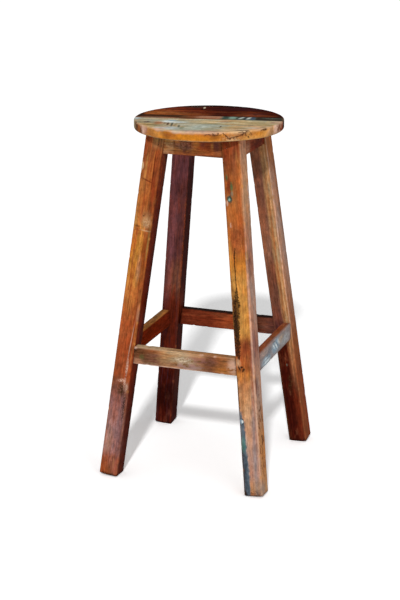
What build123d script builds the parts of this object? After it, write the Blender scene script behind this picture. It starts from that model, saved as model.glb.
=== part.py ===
from build123d import *
import os
from math import radians, sqrt, tan

os.makedirs("parts", exist_ok=True)

# Whole stool, in millimetres: floor at z = 0, front towards -Y
stool_height = 750
seat_diameter = 310
seat_thickness = 20
footrest_height = 288

# Legs: straight square stock that leans out by the same angle to the side and to the front or back
leg_side = 40
leg_splay = 6.5
leg_top_offset = 80
leg_arris = 2.5
foot_arris = 1.5
foot_wear = 2.0

# Rails: the aprons and the stretchers stand plumb between the leaning legs, flush at their top edges
apron_height = 40
stretcher_height = 38
rail_thickness = 18
rail_arris = 1.5

# Tenons on the rail ends, with room for glue in the mortises
tenon_length = 20
tenon_thickness = 8
tenon_height = 28
tenon_lead = 1.0
glue_gap = 0.1
mortise_spare = 1.0

# Headless brads, driven through the outer leg faces into the tenons and set below the surface
brad_diameter = 2.2
brad_length = 22
brad_set = 2.0
brad_tip = 2.5
fastener_gap = 0.1

# Seat boards: the glued joints lie at these distances from the seat's middle, front to back
board_turn = 11
board_joints = [-68, -12, 24, 88]
board_names = ["front", "mid_front", "middle", "mid_back", "back"]
rim_arris = 2.5
joint_groove = 0.6

# Dowels in the board joints, staggered from one joint to the next
dowel_diameter = 8
dowel_length = 30
dowel_chamfer = 0.8
dowel_spare = 1.0
dowel_places = [(-105, 0, 105), (-70, 70)]

# Screws that hold the seat: up through the aprons from deep counterbores
screw_diameter = 4
screw_head_diameter = 8
screw_head_height = 2.5
screw_depth_in_seat = 13
screw_tip = 4
screw_slot_width = 1.0
screw_slot_depth = 1.2
screw_spread = 35
counterbore_diameter = 10
counterbore_depth = 14

seat_underside = stool_height - seat_thickness
splay_slope = tan(radians(leg_splay))
leg_level_half = leg_side / 2 * sqrt(1 + splay_slope**2)
rail_tops = {"apron": seat_underside, "stretcher": footrest_height}
rail_heights = {"apron": apron_height, "stretcher": stretcher_height}
sides = (-1, 1)


def leg_offset(height):
    # distance of a leg's axis from the two centre planes of the stool
    return leg_top_offset + (seat_underside - height) * splay_slope


def leg_section(side_x, side_y, height):
    # plane square to a leg, with its origin on the leg's axis
    centre = (side_x * leg_offset(height), side_y * leg_offset(height), height)
    upwards = (-side_x * splay_slope, -side_y * splay_slope, 1)
    return Plane(origin=centre, x_dir=(1, 0, 0), z_dir=upwards)


def rail_middle(level):
    # height of a rail's middle line above the floor
    return rail_tops[level] - rail_heights[level] / 2


def rail_centre(level):
    # distance of a rail's middle plane from the centre plane that it runs along
    return leg_offset(rail_tops[level]) + leg_level_half - rail_thickness / 2


def tenon_reach(level):
    # distance of a tenon's end from the middle of its rail
    return leg_offset(rail_middle(level)) - leg_level_half + tenon_length


def brad_places(side_x, side_y, level):
    # where the two brads of one joint sit in a leg: at the set head, pointing into the leg
    middle = rail_middle(level)
    across = tenon_reach(level) - tenon_length / 2
    head = leg_offset(middle) + leg_level_half - brad_set
    into_depth = Plane(origin=(side_x * across, side_y * head, middle), z_dir=(0, -side_y, 0))
    into_width = Plane(origin=(side_x * head, side_y * across, middle), z_dir=(-side_x, 0, 0))
    return [into_depth, into_width]


def drill_for_brads(places):
    # holes that run from outside the leg to just past the tip of each brad
    for place in places:
        with Locations(place.offset(-leg_side)):
            Cylinder(
                radius=brad_diameter / 2 + fastener_gap / 2,
                height=leg_side + brad_length + fastener_gap,
                align=(Align.CENTER, Align.CENTER, Align.MIN),
                mode=Mode.SUBTRACT,
            )


# Legs
leg_rows = {-1: "front", 1: "back"}
leg_columns = {-1: "left", 1: "right"}
upright = leg_section(1, 1, 0)
corner_drop = leg_side / 2 * (abs(upright.x_dir.Z) + abs(upright.y_dir.Z))
foot_axis_height = corner_drop - foot_wear
for side_y in sides:
    for side_x in sides:
        leg_name = f"leg_{leg_rows[side_y]}_{leg_columns[side_x]}"
        with BuildPart() as leg:
            with BuildSketch(leg_section(side_x, side_y, foot_axis_height)):
                RectangleRounded(leg_side, leg_side, leg_arris)
            extrude(amount=stool_height)
            split(bisect_by=Plane.XY.offset(seat_underside), keep=Keep.BOTTOM)
            chamfer(leg.faces().sort_by(Axis.Z)[0].edges(), length=foot_arris)
            # the lowest corner of the square cut is worn to a small level pad
            split(bisect_by=Plane.XY, keep=Keep.TOP)
            for level in rail_tops:
                mortise_middle = tenon_reach(level) + mortise_spare - leg_side / 2
                slot = tenon_thickness + 2 * glue_gap
                slot_height = tenon_height + 2 * glue_gap
                with Locations((side_x * mortise_middle, side_y * rail_centre(level), rail_middle(level))):
                    Box(leg_side, slot, slot_height, mode=Mode.SUBTRACT)
                with Locations((side_x * rail_centre(level), side_y * mortise_middle, rail_middle(level))):
                    Box(slot, leg_side, slot_height, mode=Mode.SUBTRACT)
                drill_for_brads(brad_places(side_x, side_y, level))
        leg.part.label = leg_name
        export_step(leg.part, f"parts/{leg_name}.step")


# Screws stand two to an apron, on the apron's middle line
apron_underside = seat_underside - apron_height
screw_seat = apron_underside + counterbore_depth
screw_points = []
for side in sides:
    for spread in sides:
        screw_points.append((spread * screw_spread, side * rail_centre("apron")))
        screw_points.append((side * rail_centre("apron"), spread * screw_spread))


# Aprons and stretchers: shoulders cut to the leaning leg faces, one tongue through for both tenons
rail_sides = {"front": (0, -1), "back": (0, 1), "left": (-1, 0), "right": (1, 0)}
for level in rail_tops:
    for side_name, (side_x, side_y) in rail_sides.items():
        rail_name = f"{level}_{side_name}"
        runs_along_x = side_x == 0
        run_axis = Axis.X if runs_along_x else Axis.Y
        ends = [(end, side_y) if runs_along_x else (side_x, end) for end in sides]
        middle = rail_middle(level)
        centre = (side_x * rail_centre(level), side_y * rail_centre(level), middle)
        rail_plane = Plane(origin=centre, x_dir=run_axis.direction, z_dir=(0, 0, 1))
        with BuildPart() as rail:
            with BuildSketch(rail_plane):
                Rectangle(2 * tenon_reach(level), rail_thickness)
            extrude(amount=rail_heights[level] / 2, both=True)
            fillet(rail.edges().filter_by(run_axis), radius=rail_arris)
            for end_x, end_y in ends:
                section = leg_section(end_x, end_y, middle)
                inwards = section.x_dir * -end_x if runs_along_x else section.y_dir * -end_y
                shoulder = Plane(origin=section.origin + inwards * (leg_side / 2), z_dir=inwards)
                split(bisect_by=shoulder, keep=Keep.TOP)
            with BuildSketch(rail_plane):
                Rectangle(2 * tenon_reach(level), tenon_thickness)
            extrude(amount=tenon_height / 2, both=True)
            tenon_ends = rail.faces().filter_by(run_axis).group_by(run_axis)
            chamfer(tenon_ends[0].edges() + tenon_ends[-1].edges(), length=tenon_lead)
            for end_x, end_y in ends:
                drill_for_brads(brad_places(end_x, end_y, level))
            if level == "apron":
                bores = [Plane(origin=(x, y, apron_underside), z_dir=(0, 0, -1)) for x, y in screw_points]
                with Locations(*bores):
                    CounterBoreHole(
                        radius=screw_diameter / 2 + fastener_gap,
                        counter_bore_radius=counterbore_diameter / 2,
                        counter_bore_depth=counterbore_depth,
                        depth=apron_height,
                    )
        rail.part.label = rail_name
        export_step(rail.part, f"parts/{rail_name}.step")


# Brads: one plain pointed pin, repeated at every joint of a level
with BuildPart() as brad:
    with BuildSketch(Plane.XZ):
        with BuildLine():
            Polyline(
                (0, 0),
                (brad_diameter / 2, 0),
                (brad_diameter / 2, brad_length - brad_tip),
                (0, brad_length),
                close=True,
            )
        make_face()
    revolve(axis=Axis.Z)

for level in rail_tops:
    brad_name = f"{level}_brads"
    with BuildPart() as brads:
        for side_y in sides:
            for side_x in sides:
                with Locations(*brad_places(side_x, side_y, level)):
                    add(brad.part)
    brads.part.label = brad_name
    export_step(brads.part, f"parts/{brad_name}.step")


# Seat boards: strips of one disc, turned a little against the leg frame
seat_base = Plane.XY.offset(seat_underside).rotated((0, 0, board_turn))


def seat_point(along, across, up):
    # plane parallel to the seat at a place given along and across the boards
    return Plane(
        origin=seat_base.from_local_coords((along, across, up)),
        x_dir=seat_base.x_dir,
        z_dir=seat_base.z_dir,
    )


dowel_points = []
for number, joint in enumerate(board_joints):
    for along in dowel_places[number % len(dowel_places)]:
        dowel_points.append(seat_point(along, joint, seat_thickness / 2))
groove_points = [seat_point(0, joint, seat_thickness) for joint in board_joints]
along_joint_axis = (90, 0, 0)
groove_tilt = (45, 0, 0)

board_lows = [-seat_diameter] + board_joints
board_highs = board_joints + [seat_diameter]
for board_name, low, high in zip(board_names, board_lows, board_highs):
    node_name = f"seat_board_{board_name}"
    with BuildPart() as board:
        with BuildSketch(seat_base):
            Circle(seat_diameter / 2)
            with Locations((0, (low + high) / 2)):
                Rectangle(seat_diameter, high - low, mode=Mode.INTERSECT)
        extrude(amount=seat_thickness)
        fillet(board.edges().filter_by(GeomType.CIRCLE), radius=rim_arris)
        with Locations(*groove_points):
            Box(
                seat_diameter,
                joint_groove * sqrt(2),
                joint_groove * sqrt(2),
                rotation=groove_tilt,
                mode=Mode.SUBTRACT,
            )
        with Locations(*dowel_points):
            Cylinder(
                radius=dowel_diameter / 2 + fastener_gap / 2,
                height=dowel_length + dowel_spare,
                rotation=along_joint_axis,
                mode=Mode.SUBTRACT,
            )
        with Locations(*[(x, y, seat_underside) for x, y in screw_points]):
            Cylinder(
                radius=screw_diameter / 2 + fastener_gap / 2,
                height=2 * (screw_depth_in_seat + fastener_gap),
                mode=Mode.SUBTRACT,
            )
    board.part.label = node_name
    export_step(board.part, f"parts/{node_name}.step")

with BuildPart() as seat_dowels:
    with Locations(*dowel_points):
        Cylinder(radius=dowel_diameter / 2, height=dowel_length, rotation=along_joint_axis)
    chamfer(seat_dowels.edges().filter_by(GeomType.CIRCLE), length=dowel_chamfer)
seat_dowels.part.label = "seat_dowels"
export_step(seat_dowels.part, "parts/seat_dowels.step")


# Seat screws: flat head with a cross recess below, shank and pointed tip above
screw_length = seat_underside + screw_depth_in_seat - screw_seat
with BuildPart() as screw:
    with BuildSketch(Plane.XZ):
        with BuildLine():
            Polyline(
                (0, -screw_head_height),
                (screw_head_diameter / 2, -screw_head_height),
                (screw_head_diameter / 2, 0),
                (screw_diameter / 2, 0),
                (screw_diameter / 2, screw_length - screw_tip),
                (0, screw_length),
                close=True,
            )
        make_face()
    revolve(axis=Axis.Z)
    slot_length = screw_head_diameter / 2
    with Locations((0, 0, -screw_head_height)):
        Box(slot_length, screw_slot_width, 2 * screw_slot_depth, mode=Mode.SUBTRACT)
        Box(screw_slot_width, slot_length, 2 * screw_slot_depth, mode=Mode.SUBTRACT)

with BuildPart() as seat_screws:
    with Locations(*[(x, y, screw_seat) for x, y in screw_points]):
        add(screw.part)
seat_screws.part.label = "seat_screws"
export_step(seat_screws.part, "parts/seat_screws.step")
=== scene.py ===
import math
import random

import bmesh
import bpy
from mathutils import Matrix, Vector, noise


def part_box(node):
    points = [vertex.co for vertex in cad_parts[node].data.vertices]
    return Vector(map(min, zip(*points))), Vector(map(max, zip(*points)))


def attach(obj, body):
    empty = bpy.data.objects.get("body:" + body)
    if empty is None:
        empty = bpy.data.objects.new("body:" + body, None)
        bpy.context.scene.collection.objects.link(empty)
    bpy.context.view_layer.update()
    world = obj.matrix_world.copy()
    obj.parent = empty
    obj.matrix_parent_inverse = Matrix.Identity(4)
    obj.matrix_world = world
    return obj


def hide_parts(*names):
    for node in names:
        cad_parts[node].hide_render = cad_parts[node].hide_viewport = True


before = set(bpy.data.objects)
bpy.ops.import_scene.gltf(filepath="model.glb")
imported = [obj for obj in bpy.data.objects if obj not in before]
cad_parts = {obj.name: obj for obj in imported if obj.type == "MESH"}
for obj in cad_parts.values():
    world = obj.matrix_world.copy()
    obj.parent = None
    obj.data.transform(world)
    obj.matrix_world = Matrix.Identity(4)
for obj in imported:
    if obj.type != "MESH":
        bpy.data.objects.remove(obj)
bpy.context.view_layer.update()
mm = 0.001
print("frame loaded:", len(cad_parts), "nodes")

# camera, worked out for an image of 400 x 600 pixels
shot = {
    "azimuth": 19.78,  # degrees round the stool, from its front
    "pitch": 17.18,  # degrees down
    "distance": 3.26488,
    "aimAside": -18.55 * mm,
    "aimHeight": 357.56 * mm,
    "lens": 91.67,
    "farthest": 200,
}
turnAngle = math.radians(shot["azimuth"])
pitchAngle = math.radians(shot["pitch"])
backward = Vector((
    math.sin(turnAngle) * math.cos(pitchAngle),
    -math.cos(turnAngle) * math.cos(pitchAngle),
    math.sin(pitchAngle),
))
rightward = Vector((math.cos(turnAngle), math.sin(turnAngle), 0))
aimPoint = Vector((0, 0, shot["aimHeight"])) + rightward * shot["aimAside"]
camera = bpy.data.objects.new("camera", bpy.data.cameras.new("camera"))
camera.data.lens = shot["lens"]
camera.data.clip_end = shot["farthest"]
cameraAxes = Matrix((rightward, backward.cross(rightward), backward)).transposed()
camera.matrix_world = Matrix.Translation(aimPoint + backward * shot["distance"]) @ cameraAxes.to_4x4()
bpy.context.scene.collection.objects.link(camera)
bpy.context.scene.camera = camera
bpy.context.scene.view_settings.view_transform = "Standard"
print("camera set")


def addNode(tree, kind, sockets, **settings):
    # a shader node with its settings, and values or links for its inputs
    node = tree.nodes.new("ShaderNode" + kind)
    for key, value in settings.items():
        setattr(node, key, value)
    for key, value in sockets.items():
        if isinstance(value, bpy.types.NodeSocket):
            tree.links.new(value, node.inputs[key])
        else:
            node.inputs[key].default_value = value
    return node


def blendColour(tree, amount, under, over, how="MIX"):
    mix = addNode(tree, "Mix", {0: amount, 6: under, 7: over}, data_type="RGBA", blend_type=how)
    return mix.outputs[2]


def mathNode(tree, operation, first, second, third=0.0):
    return addNode(tree, "Math", {0: first, 1: second, 2: third}, operation=operation).outputs[0]


def scaleColour(tree, colour, amount):
    return addNode(tree, "VectorMath", {0: colour, "Scale": amount}, operation="SCALE").outputs[0]


def rampBetween(tree, value, low, high, start=0.0, end=1.0):
    # smooth step from start to end while the value goes from low to high
    step = {"Value": value, "From Min": low, "From Max": high, "To Min": start, "To Max": end}
    return addNode(tree, "MapRange", step, interpolation_type="SMOOTHSTEP").outputs[0]


def shownDirectly(tree):
    # 1 for rays that show the background itself, 0 for the light that it gives
    path = addNode(tree, "LightPath", {})
    shown = mathNode(tree, "MAXIMUM", path.outputs["Is Camera Ray"], path.outputs["Is Glossy Ray"])
    return mathNode(tree, "MAXIMUM", shown, path.outputs["Is Transmission Ray"])


# studio: one broad lamp behind the camera, a soft fill from the right, a bright room and a white floor
studio = {
    "keyFrom": (0.195, -0.797, 0.571),
    "keyStrength": 1.8,
    "keySpread": 3.5,  # degrees
    "fillAt": (2.5, -2.2, 0.8),
    "fillSize": 2.0,
    "fillPower": 26.0,
    "room": 0.42,
    "floorLit": 0.7,  # grey that the floor throws back on to the stool
    "floorShown": 1.45,
    "floorReach": 60.0,
}
keyLamp = bpy.data.objects.new("keyLamp", bpy.data.lights.new("keyLamp", "SUN"))
keyLamp.data.energy = studio["keyStrength"]
keyLamp.data.angle = math.radians(studio["keySpread"])
keyLamp.rotation_euler = Vector(studio["keyFrom"]).to_track_quat("Z", "Y").to_euler()
fillLamp = bpy.data.objects.new("fillLamp", bpy.data.lights.new("fillLamp", "AREA"))
fillLamp.data.energy = studio["fillPower"]
fillLamp.data.size = studio["fillSize"]
fillLamp.location = studio["fillAt"]
fillLamp.rotation_euler = (Vector(studio["fillAt"]) - aimPoint).to_track_quat("Z", "Y").to_euler()
for lamp in (keyLamp, fillLamp):
    bpy.context.scene.collection.objects.link(lamp)

room = bpy.data.worlds.new("room")
room.use_nodes = True
roomTree = room.node_tree
roomGlow = mathNode(roomTree, "MULTIPLY_ADD", shownDirectly(roomTree), 1 - studio["room"], studio["room"])
background = roomTree.nodes["Background"]
background.inputs["Color"].default_value = (1, 1, 1, 1)
roomTree.links.new(roomGlow, background.inputs["Strength"])
bpy.context.scene.world = room

floorMaterial = bpy.data.materials.new("paleFloor")
floorMaterial.use_nodes = True
floorTree = floorMaterial.node_tree
floorTree.nodes.remove(floorTree.nodes["Principled BSDF"])
floorColour = blendColour(
    floorTree,
    shownDirectly(floorTree),
    [studio["floorLit"]] * 3 + [1],
    [studio["floorShown"]] * 3 + [1],
)
floorShader = addNode(floorTree, "BsdfDiffuse", {"Color": floorColour})
floorTree.links.new(floorShader.outputs[0], floorTree.nodes["Material Output"].inputs["Surface"])
floorMesh = bmesh.new()
bmesh.ops.create_grid(floorMesh, x_segments=1, y_segments=1, size=studio["floorReach"])
floorData = bpy.data.meshes.new("floor")
floorMesh.to_mesh(floorData)
floorMesh.free()
floorData.materials.append(floorMaterial)
floor = bpy.data.objects.new("floor", floorData)
bpy.context.scene.collection.objects.link(floor)
print("studio lit")

# old paints and timbers
palette = {
    "amber": "c08040", "honey": "c98c48", "ochre": "b8722c", "gold": "c78941", "orange": "a8602e",
    "copper": "a6522a", "chestnut": "98572c", "russet": "8a4a2a", "rust": "924626", "brick": "76301a",
    "mahogany": "5e2212", "maroon": "521a0c", "oxblood": "390c05", "soot": "1c100b", "umber": "4e2e19",
    "walnut": "6b4228", "plum": "5c3331", "aubergine": "46262c", "cocoa": "734432", "mauve": "835650",
    "heather": "986c66", "rose": "ac7a5f", "blush": "cda894", "tan": "a97a50", "sand": "b59a70",
    "putty": "cfae86", "oat": "a59676", "cream": "cfc3a6", "celadon": "b3b7a4", "mist": "b2bec2",
    "ice": "dfe4e2", "sky": "88a3b3", "slate": "566069", "navy": "30353e", "denim": "46566b",
    "teal": "4c766f", "foam": "8fae9f", "jade": "617062", "pine": "2f423a", "char": "3b3932",
    "olive": "7f6d3e", "moss": "4f5c34", "fern": "3f5f3c", "pewter": "8a807e", "beech": "c9a273",
    "peach": "c8966a", "clay": "b38f7c", "ember": "66200a", "claret": "6d2a1a", "straw": "c6b186",
    "flax": "b2ab92", "saffron": "ca7d24", "toffee": "8a5942", "wine": "8f5152", "sienna": "7c2608",
}


def colourOf(name):
    # palette entry as the linear colour that a socket takes
    parts = [int(palette[name][i:i + 2], 16) / 255 for i in (0, 2, 4)]
    return [p / 12.92 if p <= 0.04045 else ((p + 0.055) / 1.055) ** 2.4 for p in parts] + [1]


def colourAlong(tree, value, zones):
    # colours that follow each other as the value goes through the places of the zones
    zones = sorted(zones)
    first = zones[0][0]
    last = zones[-1][0]
    part = addNode(tree, "MapRange", {"Value": value, "From Min": first, "From Max": last}).outputs[0]
    ramp = addNode(tree, "ValToRGB", {"Fac": part})
    stops = ramp.color_ramp.elements
    stops[0].color = colourOf(zones[0][1])
    stops[1].color = colourOf(zones[-1][1])
    for place, colour in zones[1:-1]:
        stops.new((place - first) / (last - first)).color = colourOf(colour)
    return ramp.outputs["Color"]


markDepth = 5  # mm that a mark on a face reaches into the wood, unless it says otherwise
flakeEdge = 0.05  # noise levels either side of the one where flaked paint ends
middleLevel = 0.5  # of a noise


def mark(colour, at, size, edge=0.3, ragged=0.5, cover=1.0, by="mottle", left=0.0, turn=(0, 0, 0)):
    # a stain or paint remnant in the piece's own frame, with its half sizes in mm: by names the noise
    # that frays it, and left is the noise level above which flaked paint still stands
    return {
        "colour": colour, "at": at, "size": size, "edge": edge, "ragged": ragged,
        "cover": cover, "by": by, "left": left, "turn": turn,
    }


def markMask(tree, local, noises, spot):
    turned = [math.radians(angle) for angle in spot["turn"]]
    fitted = {"Vector": local, "Location": spot["at"], "Rotation": turned, "Scale": spot["size"]}
    inside = addNode(tree, "Mapping", fitted, vector_type="TEXTURE").outputs[0]
    reach = addNode(tree, "VectorMath", {0: inside}, operation="LENGTH").outputs["Value"]
    frayed = mathNode(tree, "MULTIPLY_ADD", noises[spot["by"]], spot["ragged"] * 2, reach)
    border = 1 + spot["ragged"]
    mask = rampBetween(tree, frayed, border - spot["edge"], border + spot["edge"], spot["cover"], 0)
    if spot["left"]:
        flaked = (spot["left"] - flakeEdge, spot["left"] + flakeEdge)
        mask = mathNode(tree, "MULTIPLY", mask, rampBetween(tree, noises[spot["by"]], *flaked))
    return mask


timber = {
    "wander": (32.0, 95.0, 6.0),  # mm across, mm along, mm that the grain strays
    "wanderDetail": 2.0,
    "seedShifts": (3.1, 7.3),  # how far a seed moves the straying and the layers
    "layers": {  # mm across, mm along the grain, detail
        "cloud": (20.0, 52.0, 4.0),
        "figure": (6.0, 120.0, 4.0),
        "fibre": (2.0, 34.0, 4.0),
        "mottle": (8.0, 14.0, 5.0),
        "speck": (2.1, 3.2, 3.0),
        "pore": (0.9, 9.0, 1.0),
    },
    "layerRough": 0.62,
    "crackle": (6.0, 24.0),  # mm across and along of the cells in old lacquer
    "crackleBend": 1.6,
    "cool": (0.90, 1.0, 1.09, 1),  # tints that drift through every board
    "warm": (1.10, 0.98, 0.86, 1),
    "tintLevels": (0.36, 0.64),  # noise levels between which a change sets in
    "lightLevels": (0.3, 0.7),
    "speckLevels": (0.56, 0.76),
    "poreLevels": (0.62, 0.72),
    "cellEdge": (0.1, 0.02),
    "crackleLevels": (0.46, 0.6),
    "wornLevels": (0.3, 0.6, 0.2, 1),
    "dirtLevels": (0.36, 0.56, 1, 0.7),
    "heights": {"fibre": 0.55, "pore": -0.5, "paint": 0.35, "speck": 0.25},  # where the figure has 1
    "relief": 0.45 * mm,
    "reliefStrength": 0.6,
    "poreRough": 0.2,
    "coatRough": 0.3,
    "specular": 0.0,
}
# what a piece of wood has unless its own dictionary says otherwise; there, zones are places along the
# grain in mm with their colours, and figure is a colour, the noise that draws it, the levels between which
# it sets in, and its strength
plainWood = {
    "coarse": 1.0,  # how many times as wide its grain is
    "wobble": 60,  # mm that the borders of its zones stray
    "fibreLight": (0.7, 1.3),  # from dark to light
    "mottleLight": (0.74, 1.28),
    "specks": 0.6,
    "crackle": 0.2,
    "pores": 0.5,
    "rough": (0.38, 0.6),
    "lacquer": 0.04,
    "dirt": "soot",
    "stains": [],
    "paints": [],
    "rimStains": [],
    "arrisBareAndHighlight": 0,
}
rimWood = {  # the round edge of the seat
    "from": 153.2,  # mm from the middle
    "fade": 0.9,
    "fray": 1.2,
    "wobble": 25,
    "arris": (-3.6, -1.6),  # mm under the top where the edge is paler: worn bare wood and a painted highlight
    "paleArrisFray": 5,
    "lights": {  # noise levels, then dark and light
        "cloud": (0.32, 0.68, 0.74, 1.22),
        "mottle": (0.3, 0.7, 0.82, 1.18),
        "speck": (0.3, 0.7, 0.86, 1.12),
    },
}


def timberNoises(tree, local, seed, coarse):
    # the noise patterns of one board, drawn out along its grain
    across, along, strays = timber["wander"]
    strayShift, layerShift = [seed * shift for shift in timber["seedShifts"]]
    drift = {"Vector": local, "Location": (strayShift, 0, 0), "Scale": (1 / across, 1 / across, 1 / along)}
    drifted = addNode(tree, "Mapping", drift).outputs[0]
    straying = {"Vector": drifted, "Scale": 1.0, "Detail": timber["wanderDetail"]}
    wander = addNode(tree, "TexNoise", straying).outputs["Color"]
    aside = {0: wander, 1: (strays, strays, 0), 2: local}
    strayed = addNode(tree, "VectorMath", aside, operation="MULTIPLY_ADD").outputs[0]
    noises = {}
    for layer, (across, along, detail) in timber["layers"].items():
        shifted = {"Vector": strayed, "Location": (layerShift, 0, 0)}
        shifted["Scale"] = (1 / across / coarse, 1 / across / coarse, 1 / along)
        stretched = addNode(tree, "Mapping", shifted).outputs[0]
        settings = {"Vector": stretched, "Scale": 1.0, "Detail": detail, "Roughness": timber["layerRough"]}
        noises[layer] = addNode(tree, "TexNoise", settings).outputs["Fac"]
    across, along = timber["crackle"]
    cells = {"Vector": strayed, "Scale": (1 / across, 1 / across, 1 / along)}
    bent = {0: wander, 1: [timber["crackleBend"]] * 3, 2: addNode(tree, "Mapping", cells).outputs[0]}
    bentCells = addNode(tree, "VectorMath", bent, operation="MULTIPLY_ADD").outputs[0]
    cracks = addNode(tree, "TexVoronoi", {"Vector": bentCells, "Scale": 1.0}, feature="DISTANCE_TO_EDGE")
    noises["crackle"] = cracks.outputs["Distance"]
    return noises


def stainWood(tree, local, noises, tone, spots):
    for spot in spots:
        mask = markMask(tree, local, noises, spot)
        tone = blendColour(tree, mask, tone, colourOf(spot["colour"]))
    return tone


def finishRim(tree, local, noises, tone, look):
    # colours the round edge of the seat, which shows the ends and sides of its boards
    axes = addNode(tree, "SeparateXYZ", {0: local}).outputs
    level = addNode(tree, "VectorMath", {0: local, 1: (1, 0, 1)}, operation="MULTIPLY").outputs[0]
    radius = addNode(tree, "VectorMath", {0: level}, operation="LENGTH").outputs["Value"]
    frayedRadius = mathNode(tree, "MULTIPLY_ADD", noises["mottle"], rimWood["fray"], radius)
    onRim = rampBetween(tree, frayedRadius, rimWood["from"], rimWood["from"] + rimWood["fade"])
    uneven = mathNode(tree, "SUBTRACT", noises["figure"], middleLevel)
    along = mathNode(tree, "MULTIPLY_ADD", uneven, rimWood["wobble"], axes["Z"])
    rimTone = stainWood(tree, local, noises, colourAlong(tree, along, look["rim"]), look["rimStains"])
    light = 1.0
    for layer, levels in rimWood["lights"].items():
        light = mathNode(tree, "MULTIPLY", light, rampBetween(tree, noises[layer], *levels))
    rimTone = scaleColour(tree, rimTone, light)
    # paler band just under the top of the rim: worn bare wood and a painted highlight
    under = mathNode(tree, "MULTIPLY_ADD", uneven, rimWood["paleArrisFray"], axes["Y"])
    paleArrisBand = rampBetween(tree, under, *rimWood["arris"], 0, look["arrisBareAndHighlight"])
    rimTone = blendColour(tree, paleArrisBand, rimTone, colourOf(look["bare"]))
    return blendColour(tree, onRim, tone, rimTone)


def woodMaterial(look, place):
    # place is the piece's own frame: its z axis runs along the grain
    look = {**plainWood, **look}
    material = bpy.data.materials.new(look["piece"])
    material.use_nodes = True
    tree = material.node_tree
    shader = tree.nodes["Principled BSDF"]
    toLocal = {
        "Vector": addNode(tree, "TexCoord", {}).outputs["Object"],
        "Location": place.translation,
        "Rotation": place.to_euler(),
        "Scale": (mm, mm, mm),
    }
    local = addNode(tree, "Mapping", toLocal, vector_type="TEXTURE").outputs[0]
    noises = timberNoises(tree, local, look["seed"], look["coarse"])
    heights = timber["heights"]

    def between(layer, levels, start=0.0, end=1.0):
        return rampBetween(tree, noises[layer], *levels, start, end)

    # ground colours along the grain, darker and paler figure, then stains
    alongGrain = addNode(tree, "SeparateXYZ", {0: local}).outputs["Z"]
    uneven = mathNode(tree, "SUBTRACT", noises["figure"], middleLevel)
    wobbled = mathNode(tree, "MULTIPLY_ADD", uneven, look["wobble"], alongGrain)
    tone = colourAlong(tree, wobbled, look["zones"])
    for colour, layer, low, high, strength in look["figure"]:
        tone = blendColour(tree, between(layer, (low, high), 0, strength), tone, colourOf(colour))
    tone = stainWood(tree, local, noises, tone, look["stains"])

    # light and dark of the grain over all of them
    tint = blendColour(tree, between("cloud", timber["tintLevels"]), timber["cool"], timber["warm"])
    tone = blendColour(tree, 1.0, tone, tint, "MULTIPLY")
    fibreLight = between("fibre", timber["lightLevels"], *look["fibreLight"])
    mottleLight = between("mottle", timber["lightLevels"], *look["mottleLight"])
    speckLight = between("speck", timber["speckLevels"], 1, look["specks"])
    light = mathNode(tree, "MULTIPLY", mathNode(tree, "MULTIPLY", fibreLight, mottleLight), speckLight)
    tone = scaleColour(tree, tone, light)
    cellEdges = between("crackle", timber["cellEdge"], 0, look["crackle"])
    crackled = mathNode(tree, "MULTIPLY", cellEdges, between("mottle", timber["crackleLevels"]))
    tone = blendColour(tree, crackled, tone, colourOf(look["poreColour"]))
    pores = between("pore", timber["poreLevels"], 0, look["pores"])
    tone = blendColour(tree, pores, tone, colourOf(look["poreColour"]))
    height = mathNode(tree, "MULTIPLY_ADD", noises["fibre"], heights["fibre"], noises["figure"])
    height = mathNode(tree, "MULTIPLY_ADD", pores, heights["pore"], height)
    if "rim" in look:
        tone = finishRim(tree, local, noises, tone, look)

    # paint that still stands on the wood
    for spot in look["paints"]:
        mask = markMask(tree, local, noises, spot)
        painted = scaleColour(tree, colourOf(spot["colour"])[:3], mottleLight)
        tone = blendColour(tree, mask, tone, painted)
        height = mathNode(tree, "MULTIPLY_ADD", mask, heights["paint"], height)

    # bare wood where edges are chipped, dirt in joints and cracks, and on the legs painted shade just under
    # the seat
    worn = addNode(tree, "Attribute", {}, attribute_name="wear").outputs["Fac"]
    # the grime attribute holds dirt, and on the legs also painted shade just under the seat
    grime = addNode(tree, "Attribute", {}, attribute_name="grime").outputs["Fac"]
    wornMask = mathNode(tree, "MULTIPLY", worn, rampBetween(tree, noises["speck"], *timber["wornLevels"]))
    tone = blendColour(tree, wornMask, tone, colourOf(look["bare"]))
    dirtAndShadeMask = mathNode(tree, "MULTIPLY", grime, rampBetween(tree, noises["speck"], *timber["dirtLevels"]))
    tone = blendColour(tree, dirtAndShadeMask, tone, colourOf(look["dirt"]))

    rough = between("mottle", timber["lightLevels"], *look["rough"])
    rough = mathNode(tree, "MULTIPLY_ADD", pores, timber["poreRough"], rough)
    height = mathNode(tree, "MULTIPLY_ADD", noises["speck"], heights["speck"], height)
    relief = {"Height": height, "Distance": timber["relief"], "Strength": timber["reliefStrength"]}
    tree.links.new(tone, shader.inputs["Base Color"])
    tree.links.new(rough, shader.inputs["Roughness"])
    tree.links.new(addNode(tree, "Bump", relief).outputs[0], shader.inputs["Normal"])
    shader.inputs["Specular IOR Level"].default_value = timber["specular"]
    shader.inputs["Coat Weight"].default_value = look["lacquer"]
    shader.inputs["Coat Roughness"].default_value = timber["coatRough"]
    return material


def smooth(low, high, value):
    part = min(max((value - low) / (high - low), 0), 1)
    return part * part * (3 - 2 * part)


def edgesAlong(mesh, axis, shortest):
    return [e for e in mesh.edges if abs(e.verts[0].co[axis] - e.verts[1].co[axis]) > shortest]


def roundEdges(mesh, edges, width, segments):
    bmesh.ops.bevel(
        mesh, geom=edges, offset=width, offset_type="OFFSET",
        segments=segments, profile=0.5, affect="EDGES", material=-1,
    )


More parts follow.
